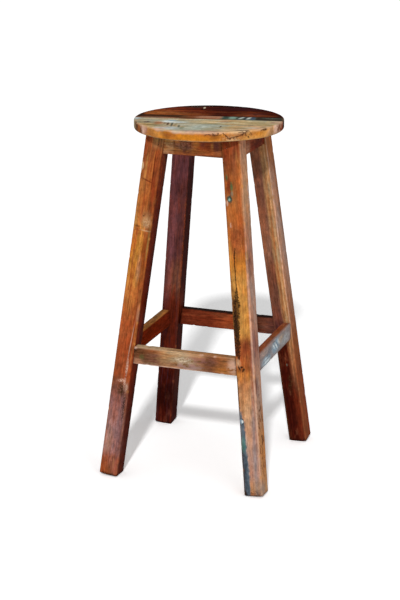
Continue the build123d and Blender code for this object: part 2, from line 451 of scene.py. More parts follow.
def cutOff(mesh, point, normal):
    # takes away what lies beyond a plane and closes the cut
    everything = mesh.verts[:] + mesh.edges[:] + mesh.faces[:]
    cut = bmesh.ops.bisect_plane(
        mesh, geom=everything, dist=1e-7, plane_co=point, plane_no=normal, clear_outer=True
    )
    rimEdges = [g for g in cut["geom_cut"] if isinstance(g, bmesh.types.BMEdge)]
    bmesh.ops.holes_fill(mesh, edges=rimEdges, sides=0)


barGrid = {"spacing": 2.0 * mm, "arrisSegments": 5, "footSegments": 3}


def makeBar(size, arris, footArris=0.0):
    # a bar along z about the origin: long edges rounded, sides cut into a fine grid
    bar = bmesh.new()
    bmesh.ops.create_cube(bar, size=1)
    bmesh.ops.scale(bar, vec=size, verts=bar.verts)
    roundEdges(bar, edgesAlong(bar, 2, size[2] / 2), arris, barGrid["arrisSegments"])
    for axis in (0, 1):
        flats = edgesAlong(bar, axis, size[axis] / 2)
        cuts = round(size[axis] / barGrid["spacing"])
        bmesh.ops.subdivide_edges(bar, edges=flats, cuts=cuts, use_grid_fill=True)
    if footArris:
        footRing = [e for e in bar.edges if all(v.co.z < 0 for v in e.verts)]
        roundEdges(bar, footRing, footArris, barGrid["footSegments"])
    longEdges = edgesAlong(bar, 2, size[2] / 2)
    cuts = round(size[2] / barGrid["spacing"])
    bmesh.ops.subdivide_edges(bar, edges=longEdges, cuts=cuts, use_grid_fill=True)
    return bar


def varied(point, middle, swing):
    return middle + swing * noise.noise(point)


edgeWear = {  # the same on bars and boards
    "easeStretch": 0.3,  # easing changes slower along an edge than chips do
    "eased": (0.5, 0.5),  # middle and swing
    "splintered": (0.75, 0.5),
    "falloff": 1.5,
}


def chipEdge(vert, wornLayer, line, inward, corner, wear):
    # eases an edge and breaks chips out of it: line is where the vertex lies in the noise along the edge,
    # and corner goes up to 1 at the edge itself
    chipped = smooth(*wear["chipLevels"], noise.noise(line))
    eased = varied(line * edgeWear["easeStretch"] + Vector(wear["easeShift"]), *edgeWear["eased"])
    splintered = varied(vert.co / wear["splinter"], *edgeWear["splintered"])
    depth = wear["ease"] * eased + wear["chip"] * chipped * splintered
    vert.co += inward * depth * corner ** edgeWear["falloff"]
    vert[wornLayer] = min(1, corner * (wear["easedBare"] * eased + chipped))


barWear = {
    "reach": 5.0 * mm,  # how far from an arris the wear begins
    "ease": 0.6 * mm,
    "easeShift": (0, 9, 0),
    "easedBare": 0.3,
    "chip": 1.3 * mm,
    "chipPitch": 15 * mm,
    "chipShift": (3, 5),  # keeps the chips of the four edges apart
    "chipLevels": (0.25, 0.65),
    "splinter": 3 * mm,
    "wave": 0.25 * mm,
    "wavePitch": 55 * mm,
    "dents": 0.06,  # for each square centimetre
    "dentRadius": (2.5 * mm, 8 * mm),
    "dentDepth": (0.15 * mm, 0.7 * mm),
}


def rollDents(half, lowest, highest, seed):
    # places, radii and depths of dents on the four sides of a bar
    dice = random.Random(seed)
    area = (highest - lowest) * 4 * (half[0] + half[1]) / (10 * mm) ** 2
    dents = []
    for i in range(round(area * barWear["dents"])):
        side = dice.choice(((1, 0), (-1, 0), (0, 1), (0, -1)))
        across = dice.uniform(-1, 1)
        centre = Vector((
            half[0] * (side[0] or across),
            half[1] * (side[1] or across),
            dice.uniform(lowest, highest),
        ))
        dents.append((centre, dice.uniform(*barWear["dentRadius"]), dice.uniform(*barWear["dentDepth"])))
    return dents


def wearBar(bar, half, seed):
    # rounds and chips the long edges, and leaves the faces dented and a little uneven
    wornLayer = bar.verts.layers.float.new("wear")
    bar.verts.layers.float.new("grime")
    bar.normal_update()
    heights = [v.co.z for v in bar.verts]
    dents = rollDents(half, min(heights), max(heights), seed)
    for vert in bar.verts:
        x, y, z = vert.co
        push = barWear["wave"] * noise.noise(vert.co / barWear["wavePitch"] + Vector((seed, 0, 0)))
        for centre, radius, depth in dents:
            if abs(z - centre.z) < radius:
                away = (vert.co - centre).length / radius
                if away < 1:
                    push -= depth * (1 - away * away) ** 2
        corner = max(0, 1 - max(half[0] - abs(x), half[1] - abs(y)) / barWear["reach"])
        if corner:
            inward = Vector((-math.copysign(1, x), -math.copysign(1, y), 0)).normalized()
            aside = [math.copysign(shift, part) for shift, part in zip(barWear["chipShift"], (x, y))]
            line = Vector((aside[0] + seed, aside[1], z / barWear["chipPitch"]))
            chipEdge(vert, wornLayer, line, inward, corner, barWear)
        vert.co += vert.normal * push


def widthsAway(path, point):
    # distance to a path of (place, half width) stations, in half widths
    nearest = math.inf
    for (start, startWidth), (end, endWidth) in zip(path, path[1:]):
        run = end - start
        part = min(max((point - start).dot(run) / run.length_squared, 0), 1)
        width = startWidth + (endWidth - startWidth) * part
        nearest = min(nearest, (point - start - run * part).length / width)
    return nearest


crackWear = {
    "reach": 2,  # half widths from the path in which the mesh is cut finer
    "passes": 4,
    "frayPitch": 2.6 * mm,
    "roughPitch": 1.2 * mm,
    "rough": (0.8, 0.4),  # middle and swing of the depth
    "sinks": (1, 0.3),  # half widths from the path between which it gets deep and dirty
    "dirties": (1.15, 0.75),
}


def hollow(mesh, path, depth, ragged, finest):
    # a crack or chip: the surface along the path is cut finer, sunk and marked as dirty
    grimeLayer = mesh.verts.layers.float["grime"]
    margin = crackWear["reach"] * max(width for place, width in path)
    low = [min(place[i] for place, width in path) - margin for i in range(3)]
    high = [max(place[i] for place, width in path) + margin for i in range(3)]

    def near(point):
        inBox = all(low[i] < point[i] < high[i] for i in range(3))
        return inBox and widthsAway(path, point) < crackWear["reach"]

    for i in range(crackWear["passes"]):
        coarse = []
        for edge in mesh.edges:
            if edge.calc_length() > finest and near((edge.verts[0].co + edge.verts[1].co) / 2):
                coarse.append(edge)
        bmesh.ops.subdivide_edges(mesh, edges=coarse, cuts=1, use_grid_fill=True)
    mesh.normal_update()
    sunk = []
    for vert in mesh.verts:
        if near(vert.co):
            away = widthsAway(path, vert.co) + ragged * noise.noise(vert.co / crackWear["frayPitch"])
            rough = varied(vert.co / crackWear["roughPitch"], *crackWear["rough"])
            step = vert.normal * depth * rough * smooth(*crackWear["sinks"], away)
            sunk.append((vert, step, smooth(*crackWear["dirties"], away)))
    for vert, step, dirt in sunk:
        vert.co -= step
        vert[grimeLayer] = max(vert[grimeLayer], dirt)


sharpAngle = math.radians(38)


def addPiece(look, mesh, place):
    # a finished mesh as a piece of the stool, in place of its plain solid
    bmesh.ops.recalc_face_normals(mesh, faces=mesh.faces)
    data = bpy.data.meshes.new(look["piece"])
    mesh.to_mesh(data)
    mesh.free()
    data.materials.append(woodMaterial(look, place))
    data.shade_smooth()
    data.set_sharp_from_angle(angle=sharpAngle)
    piece = bpy.data.objects.new(look["piece"], data)
    bpy.context.scene.collection.objects.link(piece)
    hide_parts(look["node"])
    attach(piece, "root")
    return piece


bitSides = 20


def drill(piece, holes):
    # holes are (start, direction, depth, radius); they are cut clean out of the piece's mesh
    bits = bmesh.new()
    for start, direction, depth, radius in holes:
        turned = direction.to_track_quat("Z", "Y").to_matrix().to_4x4()
        middle = Matrix.Translation(start + direction * depth / 2)
        bmesh.ops.create_cone(
            bits, cap_ends=True, segments=bitSides, radius1=radius, radius2=radius,
            depth=depth, matrix=middle @ turned,
        )
    bitData = bpy.data.meshes.new("bits")
    bits.to_mesh(bitData)
    bits.free()
    bitObject = bpy.data.objects.new("bits", bitData)
    bpy.context.scene.collection.objects.link(bitObject)
    cutter = piece.modifiers.new("drill", "BOOLEAN")
    cutter.object = bitObject
    cutter.operation = "DIFFERENCE"
    cutter.solver = "EXACT"
    drilled = bpy.data.meshes.new_from_object(piece.evaluated_get(bpy.context.evaluated_depsgraph_get()))
    piece.modifiers.clear()
    piece.data = drilled
    drilled.name = piece.name
    drilled.set_sharp_from_angle(angle=sharpAngle)
    bpy.data.objects.remove(bitObject)


def pieceFrame(origin, xAxis, yAxis, zAxis):
    turned = Matrix((xAxis, yAxis, zAxis)).transposed().to_4x4()
    return Matrix.Translation(origin) @ turned


# legs: in a leg's frame x runs to the right, y to the back and z up along the leg, from under the seat
legs = {
    "side": 40 * mm,
    "splay": math.radians(6.5),
    "topOffset": 80 * mm,  # from the centre planes of the stool to the axis, under the seat
    "spare": 20 * mm,  # runs past the seat before it is cut level
    "arris": 2.5 * mm,
    "footArris": 1.6 * mm,
    "footHeight": 2.5 * mm,  # of the axis, at the foot
    "bradLevels": (710 * mm, 269 * mm),  # pins through the tenons of aprons and stretchers
    "bradIn": 10 * mm,  # from the leg's inner face
    "bradHole": 1.15 * mm,
    "bradSet": 2.0 * mm,
    "bradDepth": 22.1 * mm,
    "splitGrid": 0.8 * mm,
    "footGrime": (9 * mm, 0.75),  # how far it reaches, how strong it is
    # darker just under the seat: dirt at the joint and painted shade from the seat
    "seatGrime": (6 * mm, 0.4),
}
legFace = legs["side"] / 2 / mm
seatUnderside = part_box("leg_front_left")[1].z
slope = math.tan(legs["splay"])


def onFront(colour, at, size, *brush, deep=markDepth, **more):
    # a mark on a leg's front face: across it and along it
    return mark(colour, (at[0], -legFace, at[1]), (size[0], deep, size[1]), *brush, **more)


def onSide(colour, at, size, *brush, **more):
    # a mark on a leg's right face: to the back and along it
    return mark(colour, (legFace, *at), (markDepth, *size), *brush, **more)


def legFrame(sideX, sideY):
    # the sides are -1 at the left and the front, 1 at the right and the back
    up = Vector((-sideX * slope, -sideY * slope, 1)).normalized()
    across = (Vector((1, 0, 0)) - up * up.x).normalized()
    origin = Vector((sideX * legs["topOffset"], sideY * legs["topOffset"], seatUnderside))
    return pieceFrame(origin, across, up.cross(across), up)


def bradHoles(sideX, sideY):
    # two holes at each level, one from each outer face of the leg
    holes = []
    for height in legs["bradLevels"]:
        axis = legs["topOffset"] + (seatUnderside - height) * slope
        outer = axis + legs["side"] / 2 / math.cos(legs["splay"]) + legs["bradSet"]
        across = axis - legs["side"] / 2 / math.cos(legs["splay"]) + legs["bradIn"]
        depth = 2 * legs["bradSet"] + legs["bradDepth"]
        fromFront = Vector((sideX * across, sideY * outer, height))
        fromSide = Vector((sideX * outer, sideY * across, height))
        holes.append((fromFront, Vector((0, -sideY, 0)), depth, legs["bradHole"]))
        holes.append((fromSide, Vector((-sideX, 0, 0)), depth, legs["bradHole"]))
    return holes


def makeLeg(look):
    place = legFrame(*look["sides"])
    length = (seatUnderside - legs["footHeight"]) / place.col[2].z + legs["spare"]
    leg = makeBar((legs["side"], legs["side"], length), legs["arris"], legs["footArris"])
    bmesh.ops.translate(leg, vec=(0, 0, legs["spare"] - length / 2), verts=leg.verts)
    wearBar(leg, (legs["side"] / 2, legs["side"] / 2), look["seed"])
    for split in look.get("splits", []):
        path = [(Vector(station[:3]) * mm, station[3] * mm) for station in split["path"]]
        hollow(leg, path, split["depth"] * mm, split["ragged"], legs["splitGrid"])
    bmesh.ops.transform(leg, matrix=place, verts=leg.verts)
    cutOff(leg, (0, 0, seatUnderside), (0, 0, 1))
    cutOff(leg, (0, 0, 0), (0, 0, -1))
    grimeLayer = leg.verts.layers.float["grime"]
    footReach, footDirt = legs["footGrime"]
    seatReach, underSeatDarkness = legs["seatGrime"]
    for vert in leg.verts:
        atFoot = footDirt * smooth(footReach, 0, vert.co.z)
        # darker just under the seat: joint dirt and painted shade
        underSeatShadeAndDirt = underSeatDarkness * smooth(seatUnderside - seatReach, seatUnderside, vert.co.z)
        vert[grimeLayer] = max(vert[grimeLayer], atFoot, underSeatShadeAndDirt)
    piece = addPiece(look, leg, place)
    drill(piece, bradHoles(*look["sides"]))
    print("leg:", look["piece"], len(piece.data.polygons), "faces")


frontLeftLeg = {
    "node": "leg_front_left", "piece": "frontLeftLeg", "sides": (-1, -1), "seed": 3,
    "zones": [
        (0, "russet"), (-35, "chestnut"), (-75, "chestnut"), (-110, "orange"), (-170, "orange"),
        (-190, "amber"), (-228, "ochre"), (-292, "ochre"), (-330, "amber"), (-372, "orange"),
        (-402, "copper"), (-455, "rust"), (-515, "rust"), (-545, "cocoa"), (-575, "mauve"),
        # the heather stops lower down are a painted sheen over mauve paint
        (-625, "heather"), (-680, "heather"), (-698, "rust"), (-740, "russet"),
    ],
    "figure": [
        ("rust", "figure", 0.5, 0.6, 0.65), ("honey", "figure", 0.44, 0.34, 0.4),
        ("rust", "cloud", 0.52, 0.68, 0.45),
    ],
    "poreColour": "mahogany", "bare": "amber",
    "stains": [
        mark("ember", (24, 2, -370), (5.4, 60, 640), 0.2, 0.15),
        onSide("oxblood", (18, -420), (15, 520), 0.8, 0.4, 0.85, "figure"),
        mark("oxblood", (24, 2, -690), (5.6, 60, 130), 0.6, 0.2, 0.75),
        onFront("tan", (10, -17), (12, 14), 0.5, 0.6, 0.7, deep=6),
        onFront("olive", (8, -11), (10, 6), 0.7, 0.7, 0.5),
        onFront("brick", (13, -220), (7, 200), 0.5, 0.4, 0.7, "figure"),
        onFront("mahogany", (8, -82), (1.6, 40), 0.5, 0.3, 0.7, "fibre"),
        onFront("brick", (-14, -28), (8, 30), 0.7, 0.5, 0.5, deep=6),
        onFront("olive", (17, -232), (1.6, 32), 0.6, 0.4, 0.7, "fibre"),
        onFront("rose", (4, -282), (4, 24), 0.8, 0.5, 0.6, "fibre"),
        onFront("rose", (17, -380), (3, 18), 0.6, 0.5, 0.7),
        onFront("chestnut", (17, -430), (3.4, 28), 0.5, 0.4, 0.8),
        onFront("brick", (-12, -205), (9, 10), 0.6, 0.8, 0.55, "speck", 0.48),
        onFront("copper", (-12, -425), (9, 30), 0.8, 0.5, 0.7),
        # mauve paint lower down, lightened to heather by a painted sheen
        onFront("mauve", (0, -588), (22, 38), 0.9, 0.4, 0.5, "cloud", deep=6),
        onFront("heather", (-2, -645), (22, 46), 0.9, 0.4, 0.6, "cloud", deep=6),
        onFront("umber", (4, -545), (10, 14), 0.5, 0.6, 0.9, "speck", 0.46),
        onFront("soot", (14, -583), (4.5, 32), 0.5, 0.6, 0.85, "speck", 0.5),
        onFront("plum", (13, -655), (7, 40), 0.7, 0.6, 0.5),
        onFront("rose", (-10, -662), (8, 26), 0.8, 0.5, 0.45),
        onFront("mauve", (14, -712), (8, 22), 0.8, 0.5, 0.5),
        onFront("soot", (0, -738), (22, 5), 0.7, 0.4, 0.6, deep=6),
    ],
    "paints": [
        onFront("putty", (-19.5, -70), (4.5, 9), 0.25, 0.7, 0.9, deep=6),
        onFront("mahogany", (-3, -99), (12, 1.6), 0.5, 0.4, 0.7, "speck", turn=(0, 16, 0)),
        onFront("tan", (6, -180), (11, 14), 0.7, 0.8, 0.7, left=0.4),
        onFront("putty", (8, -186), (8, 10), 0.6, 0.9, 0.5, "speck", 0.48),
        onFront("umber", (0, -172), (2, 1.8), 0.4, 0.5, 0.7),
        onFront("umber", (-9, -195), (8, 2.2), 0.5, 0.7, 0.55, "speck", 0.45),
        onFront("putty", (8, -202), (11, 1.5), 0.6, 0.7, 0.5, "speck", 0.42),
        onFront("blush", (10.5, -442), (1.0, 38), 0.5, 0.4, 0.6, "fibre", turn=(0, 3.4, 0)),
        onFront("blush", (9.5, -496), (2.6, 20), 0.4, 0.7, 0.75, "speck", 0.47),
        onFront("blush", (1, -526), (9, 3.4), 0.6, 0.9, 0.65, "speck", 0.47, turn=(0, -12, 0)),
        onFront("blush", (9, -530), (2.4, 14), 0.6, 0.9, 0.7, "speck", 0.47),
        onFront("blush", (14, -539), (3.4, 9), 0.6, 0.9, 0.7, "speck", 0.46),
        mark("celadon", (-20, 3, -300), (5, 10, 70), 0.4, 0.8, 0.7, left=0.5),
        mark("teal", (4, 20, -420), (11, 5, 60), 0.4, 0.8, 0.7, left=0.52),
    ],
}
makeLeg(frontLeftLeg)

frontRightLeg = {
    "node": "leg_front_right", "piece": "frontRightLeg", "sides": (1, -1), "seed": 11,
    "zones": [
        (0, "brick"), (-45, "russet"), (-75, "chestnut"), (-120, "orange"), (-228, "orange"),
        (-256, "ochre"), (-295, "gold"), (-395, "gold"), (-418, "chestnut"), (-440, "copper"),
        (-468, "chestnut"), (-482, "gold"), (-505, "peach"), (-565, "peach"), (-610, "clay"),
        (-668, "clay"), (-700, "rose"), (-722, "tan"), (-740, "chestnut"),
    ],
    "figure": [
        ("russet", "figure", 0.54, 0.66, 0.4), ("honey", "figure", 0.46, 0.34, 0.35),
        ("copper", "cloud", 0.54, 0.7, 0.25),
    ],
    "poreColour": "brick", "bare": "amber", "crackle": 0.25, "fibreLight": (0.76, 1.24), "pores": 0.3,
    "stains": [
        mark("rose", (24, 2, -260), (7.4, 60, 470), 0.2, 0.15),
        mark("heather", (24, 2, -360), (7.4, 60, 240), 0.5, 0.2, 0.4),
        mark("peach", (24, 2, -690), (7.0, 60, 150), 0.4, 0.2),
        onFront("mahogany", (-11, -55), (7, 42), 0.7, 0.6, 0.6),
        onFront("brick", (-9, -98), (6, 14), 0.6, 0.6, 0.7),
        onFront("copper", (12, -140), (6, 70), 0.7, 0.5, 0.55, "figure"),
        onFront("gold", (-18, -228), (5, 34), 0.7, 0.5, 0.7),
        onFront("rust", (1, -200), (17, 26), 0.6, 0.8, 0.75, "speck", 0.43),
        onFront("umber", (-15, -365), (5, 58), 0.6, 0.5, 0.9, deep=6),
        onFront("brick", (4, -424), (9, 16), 0.7, 0.7, 0.85),
        onFront("rust", (6, -456), (11, 22), 0.7, 0.7, 0.5),
        onFront("putty", (-14, -458), (6, 9), 0.5, 0.6, 0.5),
        onFront("mauve", (15, -520), (4, 60), 0.7, 0.5, 0.5, "fibre"),
        onFront("clay", (4, -655), (20, 85), 0.6, 0.4, 0.6, "figure", deep=6),
        onFront("heather", (5, -650), (9, 80), 0.8, 0.6, 0.65, "figure"),
        onFront("pewter", (6, -690), (4, 60), 0.8, 0.6, 0.5, "figure"),
        onFront("orange", (-4, -500), (12, 30), 0.8, 0.6, 0.45, "figure"),
        onFront("chestnut", (0, -484), (19, 30), 0.8, 0.5, 0.4),
        onFront("chestnut", (-12, -548), (5, 46), 0.8, 0.5, 0.45, "figure"),
        onFront("mauve", (13, -560), (4, 80), 0.8, 0.5, 0.45, "figure"),
        onFront("tan", (2, -722), (18, 18), 0.8, 0.6, 0.6, "figure"),
        onFront("umber", (2, -733), (20, 8), 0.6, 0.9, 0.75, "speck", 0.5, deep=6),
        onFront("umber", (-19.5, -530), (3.6, 44), 0.5, 0.5, 0.9, deep=6),
        onSide("peach", (4, -110), (30, 62), 0.9, 0.5, 0.7, "cloud"),
        onSide("aubergine", (-10, -258), (13, 20), 0.8, 0.7, 0.6),
        onSide("olive", (-18, -238), (4, 9), 0.7, 0.5, 0.5),
        onSide("aubergine", (-15, -370), (5, 5), 0.6, 0.6, 0.6),
        onSide("clay", (0, -325), (30, 55), 0.9, 0.6, 0.8, "cloud"),
        onSide("mauve", (-6, -430), (18, 30), 0.9, 0.6, 0.7, "cloud"),
        onSide("clay", (2, -486), (30, 34), 0.9, 0.6, 0.75, "cloud"),
        onSide("clay", (0, -545), (30, 52), 0.7, 0.5, 0.75, "cloud"),
        onSide("plum", (-14, -506), (7, 16), 0.7, 0.7, 0.7),
        onSide("plum", (-4, -528), (20, 62), 0.5, 0.4, 0.65, left=0.57),
        onSide("ochre", (8, -630), (20, 70), 0.9, 0.6, 0.5, "figure"),
        onSide("walnut", (0, -650), (26, 100), 0.5, 0.4, 0.75, left=0.53),
        onSide("umber", (-4, -600), (24, 60), 0.5, 0.4, 0.85, left=0.57),
        onSide("pewter", (-12, -725), (12, 16), 0.8, 0.6, 0.5),
    ],
    "paints": [
        onFront("fern", (-13, -79), (2.0, 5.5), 0.6, 0.8, 0.7, "speck"),
        onFront("fern", (-4, -98), (2.6, 9), 0.5, 0.8, 0.8, "speck"),
        onFront("jade", (-4, -112), (2.6, 5), 0.6, 0.8, 0.6, "speck"),
        onFront("pine", (-9.5, -122), (5.6, 7), 0.35, 0.6, 0.95, "speck"),
        onFront("foam", (-10, -123), (2.2, 3.0), 0.5, 0.7, 0.8, "speck"),
        onFront("blush", (-15, -130), (1.8, 5), 0.5, 0.6, 0.8),
        onFront("blush", (-11, -175), (2.4, 6), 0.5, 0.8, 0.6, "speck", 0.5),
        onFront("soot", (-7, -466), (3.0, 2.4), 0.5, 0.9, 0.95, "speck"),
        onFront("soot", (-4, -472), (2.6, 4.5), 0.5, 0.9, 0.9, "speck", turn=(0, 25, 0)),
        onFront("soot", (-13, -468), (1.8, 5.5), 0.5, 0.9, 0.85, "speck", turn=(0, -20, 0)),
        onFront("peach", (0, -580), (6, 66), 0.9, 0.5, 0.5, "figure"),
        onFront("pewter", (10, -640), (3.4, 90), 0.9, 0.5, 0.5, "figure"),
        # pale line down the front-right arris: painted highlight
        mark("blush", (17.5, -20, -480), (1.8, 1.8, 240), 0.5, 0.5, 0.5, "fibre"),
        onFront("slate", (-20, -634), (12, 84), 0.15, 0.35, deep=6),
        onFront("slate", (-20, -698), (15, 84), 0.15, 0.35, deep=6),
        onFront("navy", (-21, -690), (10, 62), 0.5, 0.6, 0.9, deep=6),
        onFront("teal", (-14, -628), (5, 15), 0.6, 0.7, 0.75),
        onFront("navy", (-15.5, -580), (5.4, 7), 0.3, 0.3, 0.95),
        onFront("sky", (-16, -580), (3, 5), 0.5, 0.4, 0.9),
        # white dot in the blue paint: painted glint
        onFront("ice", (-13, -580), (1.9, 3.0), 0.3, 0.2),
        onFront("soot", (-19, -734), (6, 9), 0.5, 0.5, 0.9, deep=6),
        onSide("sky", (14, -130), (9, 60), 0.5, 0.8, 0.5, left=0.56),
        mark("jade", (-2, 20, -300), (12, 5, 90), 0.4, 0.8, 0.7, left=0.52),
    ],
    "splits": [  # x, y, z and half width in mm
        {
            "depth": 1.0, "ragged": 0.6,
            "path": [
                (-5, -20, -222, 0.9), (-7.5, -20, -236, 1.7), (-8, -20, -262, 1.3),
                (-8, -20, -285, 1.0), (-7.5, -20, -305, 1.6),
            ],
        },
        {
            "depth": 2.4, "ragged": 0.7,
            "path": [
                (-7.5, -20, -305, 1.8), (-8, -20, -318, 4.0), (-9.5, -20, -338, 6.2),
                (-11.5, -20, -365, 6.4), (-12.5, -20, -395, 6.4), (-13, -20, -420, 6.2),
                (-13.5, -20, -440, 4.6), (-11, -20, -449, 2.4),
            ],
        },
    ],
}
makeLeg(frontRightLeg)

backLeftLeg = {
    "node": "leg_back_left", "piece": "backLeftLeg", "sides": (-1, 1), "seed": 23,
    "zones": [
        # the lighter wine near the top is painted light that offsets the seat's shadow
        (0, "cocoa"), (-50, "wine"), (-120, "wine"), (-170, "plum"), (-300, "plum"), (-340, "cocoa"),
        (-385, "cocoa"), (-425, "mahogany"), (-500, "maroon"), (-560, "maroon"), (-600, "oxblood"),
        (-740, "oxblood"),
    ],
    "figure": [
        ("aubergine", "figure", 0.5, 0.6, 0.5), ("claret", "figure", 0.46, 0.36, 0.5),
        ("cocoa", "cloud", 0.58, 0.72, 0.3),
    ],
    "poreColour": "oxblood", "bare": "russet",
    "stains": [
        mark("oxblood", (24, 2, -370), (5.4, 60, 640), 0.2, 0.15),
        # lighter wine on the left of the front face: painted light that offsets the front-left leg's shadow
        onFront("wine", (-14, -240), (12, 150), 0.7, 0.4, 0.8, "figure"),
        mark("rust", (19, -19, -270), (2.4, 3, 120), 0.5, 0.6, 0.6, "speck", 0.5),
        onSide("brick", (-8, -425), (12, 30), 0.8, 0.6, 0.6),
        onSide("mahogany", (4, -600), (16, 60), 0.8, 0.6, 0.5),
    ],
    "paints": [
        mark("pewter", (-20, -2, -240), (5, 12, 90), 0.4, 0.8, 0.6, left=0.52),
        mark("sand", (2, 20, -350), (12, 5, 110), 0.4, 0.8, 0.6, left=0.54),
    ],
}
makeLeg(backLeftLeg)

backRightLeg = {
    "node": "leg_back_right", "piece": "backRightLeg", "sides": (1, 1), "seed": 31,
    "zones": [
        (0, "russet"), (-50, "toffee"), (-150, "cocoa"), (-210, "toffee"), (-290, "toffee"),
        (-330, "cocoa"), (-400, "cocoa"), (-460, "plum"), (-505, "maroon"), (-570, "oxblood"),
        (-740, "oxblood"),
    ],
    "figure": [
        ("claret", "figure", 0.54, 0.7, 0.3), ("russet", "figure", 0.42, 0.3, 0.35),
        ("toffee", "cloud", 0.58, 0.72, 0.3),
    ],
    "poreColour": "oxblood", "bare": "tan",
    "stains": [
        onFront("tan", (17, -215), (15, 370), 0.2, 0.25, 0.95, "figure", deep=6),
        onFront("putty", (13, -270), (2.2, 230), 0.7, 0.6, 0.45, "figure"),
        onFront("chestnut", (8, -300), (1.6, 170), 0.6, 0.4, 0.6, "fibre"),
        onFront("brick", (14, -640), (9, 135), 0.5, 0.5, 0.5, "figure", deep=6),
        mark("rose", (24, 2, -230), (5.6, 60, 310), 0.4, 0.2, 0.95),
        mark("russet", (24, 2, -650), (5.6, 60, 190), 0.4, 0.2),
        onSide("clay", (-4, -225), (14, 100), 0.9, 0.6, 0.7, "figure"),
        onSide("pewter", (12, -270), (14, 50), 0.9, 0.6, 0.5),
        onSide("walnut", (14, -150), (8, 120), 0.9, 0.6, 0.6, "figure"),
        onSide("orange", (0, -30), (30, 50), 0.8, 0.5, 0.8, "cloud"),
        onSide("chestnut", (0, -480), (30, 60), 0.9, 0.5, 0.6, "cloud"),
        onSide("brick", (16, -660), (12, 120), 0.8, 0.5, 0.7, "figure"),
        mark("rust", (20, -20, -580), (2.0, 2.0, 90), 0.5, 0.5, 0.6, "fibre"),
        # pale line down the front-right arris: painted highlight
        mark("blush", (20, -20, -250), (2.4, 2.4, 250), 0.4, 0.5, 0.7, "fibre"),
    ],
    "paints": [
        onFront("jade", (-1, -548), (1.2, 2.8), 0.5, 0.8, 0.6, "speck"),
        onFront("moss", (2, -590), (6, 26), 0.6, 0.8, 0.4, "speck", 0.58),
        mark("teal", (0, 20, -260), (13, 5, 120), 0.4, 0.8, 0.7, left=0.5),
    ],
}
makeLeg(backRightLeg)

# rails: seen from outside, x runs into the stool, y up and z to the right
rails = {
    "thickness": 18 * mm,
    "arris": 1.5 * mm,
    "bite": 0.4 * mm,  # how far a shoulder goes into the uneven leg face
    "heights": {"apron": 40 * mm, "stretcher": 38 * mm},
    "directions": {"front": (1, 0, 0), "right": (0, 1, 0), "back": (-1, 0, 0), "left": (0, -1, 0)},
    "grime": (3.5 * mm, 0.5 * mm, 0.7),  # where it begins and is full at the shoulders, how strong it is
    "screwSpread": 35 * mm,
    "screwHole": 5 * mm,
    "screwDepth": 14 * mm,
    "screwLead": 2 * mm,  # the drill starts this far below the apron
}
railFace = rails["thickness"] / 2 / mm
plumb = Vector((0, 0, 1))


def onRail(colour, at, size, *brush, **more):
    # a mark on a rail's outer face: up it and along it
    return mark(colour, (-railFace, *at), (markDepth, *size), *brush, **more)


def shoulderPlane(along, inward, end):
    # the face of the leg that takes this end of the rail
    corner = along * end - inward
    legPlace = legFrame(*[round(math.copysign(1, part)) for part in corner.xy])
    faces = (legPlace.col[0].xyz, legPlace.col[1].xyz)
    face = [axis for axis in faces if abs(axis.dot(along)) > 0.5][0]
    outward = face * math.copysign(1, face.dot(along * end))
    return legPlace.translation - outward * (legs["side"] / 2 - rails["bite"]), outward


def makeRail(look):
    kind, side = look["node"].split("_")
    low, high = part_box(look["node"])
    along = Vector(rails["directions"][side])
    inward = plumb.cross(along)
    size = (rails["thickness"], rails["heights"][kind], abs((high - low).dot(along)))
    place = pieceFrame((low + high) / 2, inward, plumb, along)
    rail = makeBar(size, rails["arris"])
    wearBar(rail, (size[0] / 2, size[1] / 2), look["seed"])
    bmesh.ops.transform(rail, matrix=place, verts=rail.verts)
    shoulders = [shoulderPlane(along, inward, end) for end in (-1, 1)]
    for point, outward in shoulders:
        cutOff(rail, point, outward)
    grimeLayer = rail.verts.layers.float["grime"]
    begins, full, dirt = rails["grime"]
    for vert in rail.verts:
        nearest = min((point - vert.co).dot(outward) for point, outward in shoulders)
        vert[grimeLayer] = dirt * smooth(begins, full, nearest)
    piece = addPiece(look, rail, place)
    if kind == "apron":
        below = plumb * (size[1] / 2 + rails["screwLead"])
        depth = rails["screwDepth"] + rails["screwLead"]
        starts = [place.translation + along * end * rails["screwSpread"] - below for end in (-1, 1)]
        drill(piece, [(start, plumb, depth, rails["screwHole"]) for start in starts])
    print("rail:", look["piece"], len(piece.data.polygons), "faces")


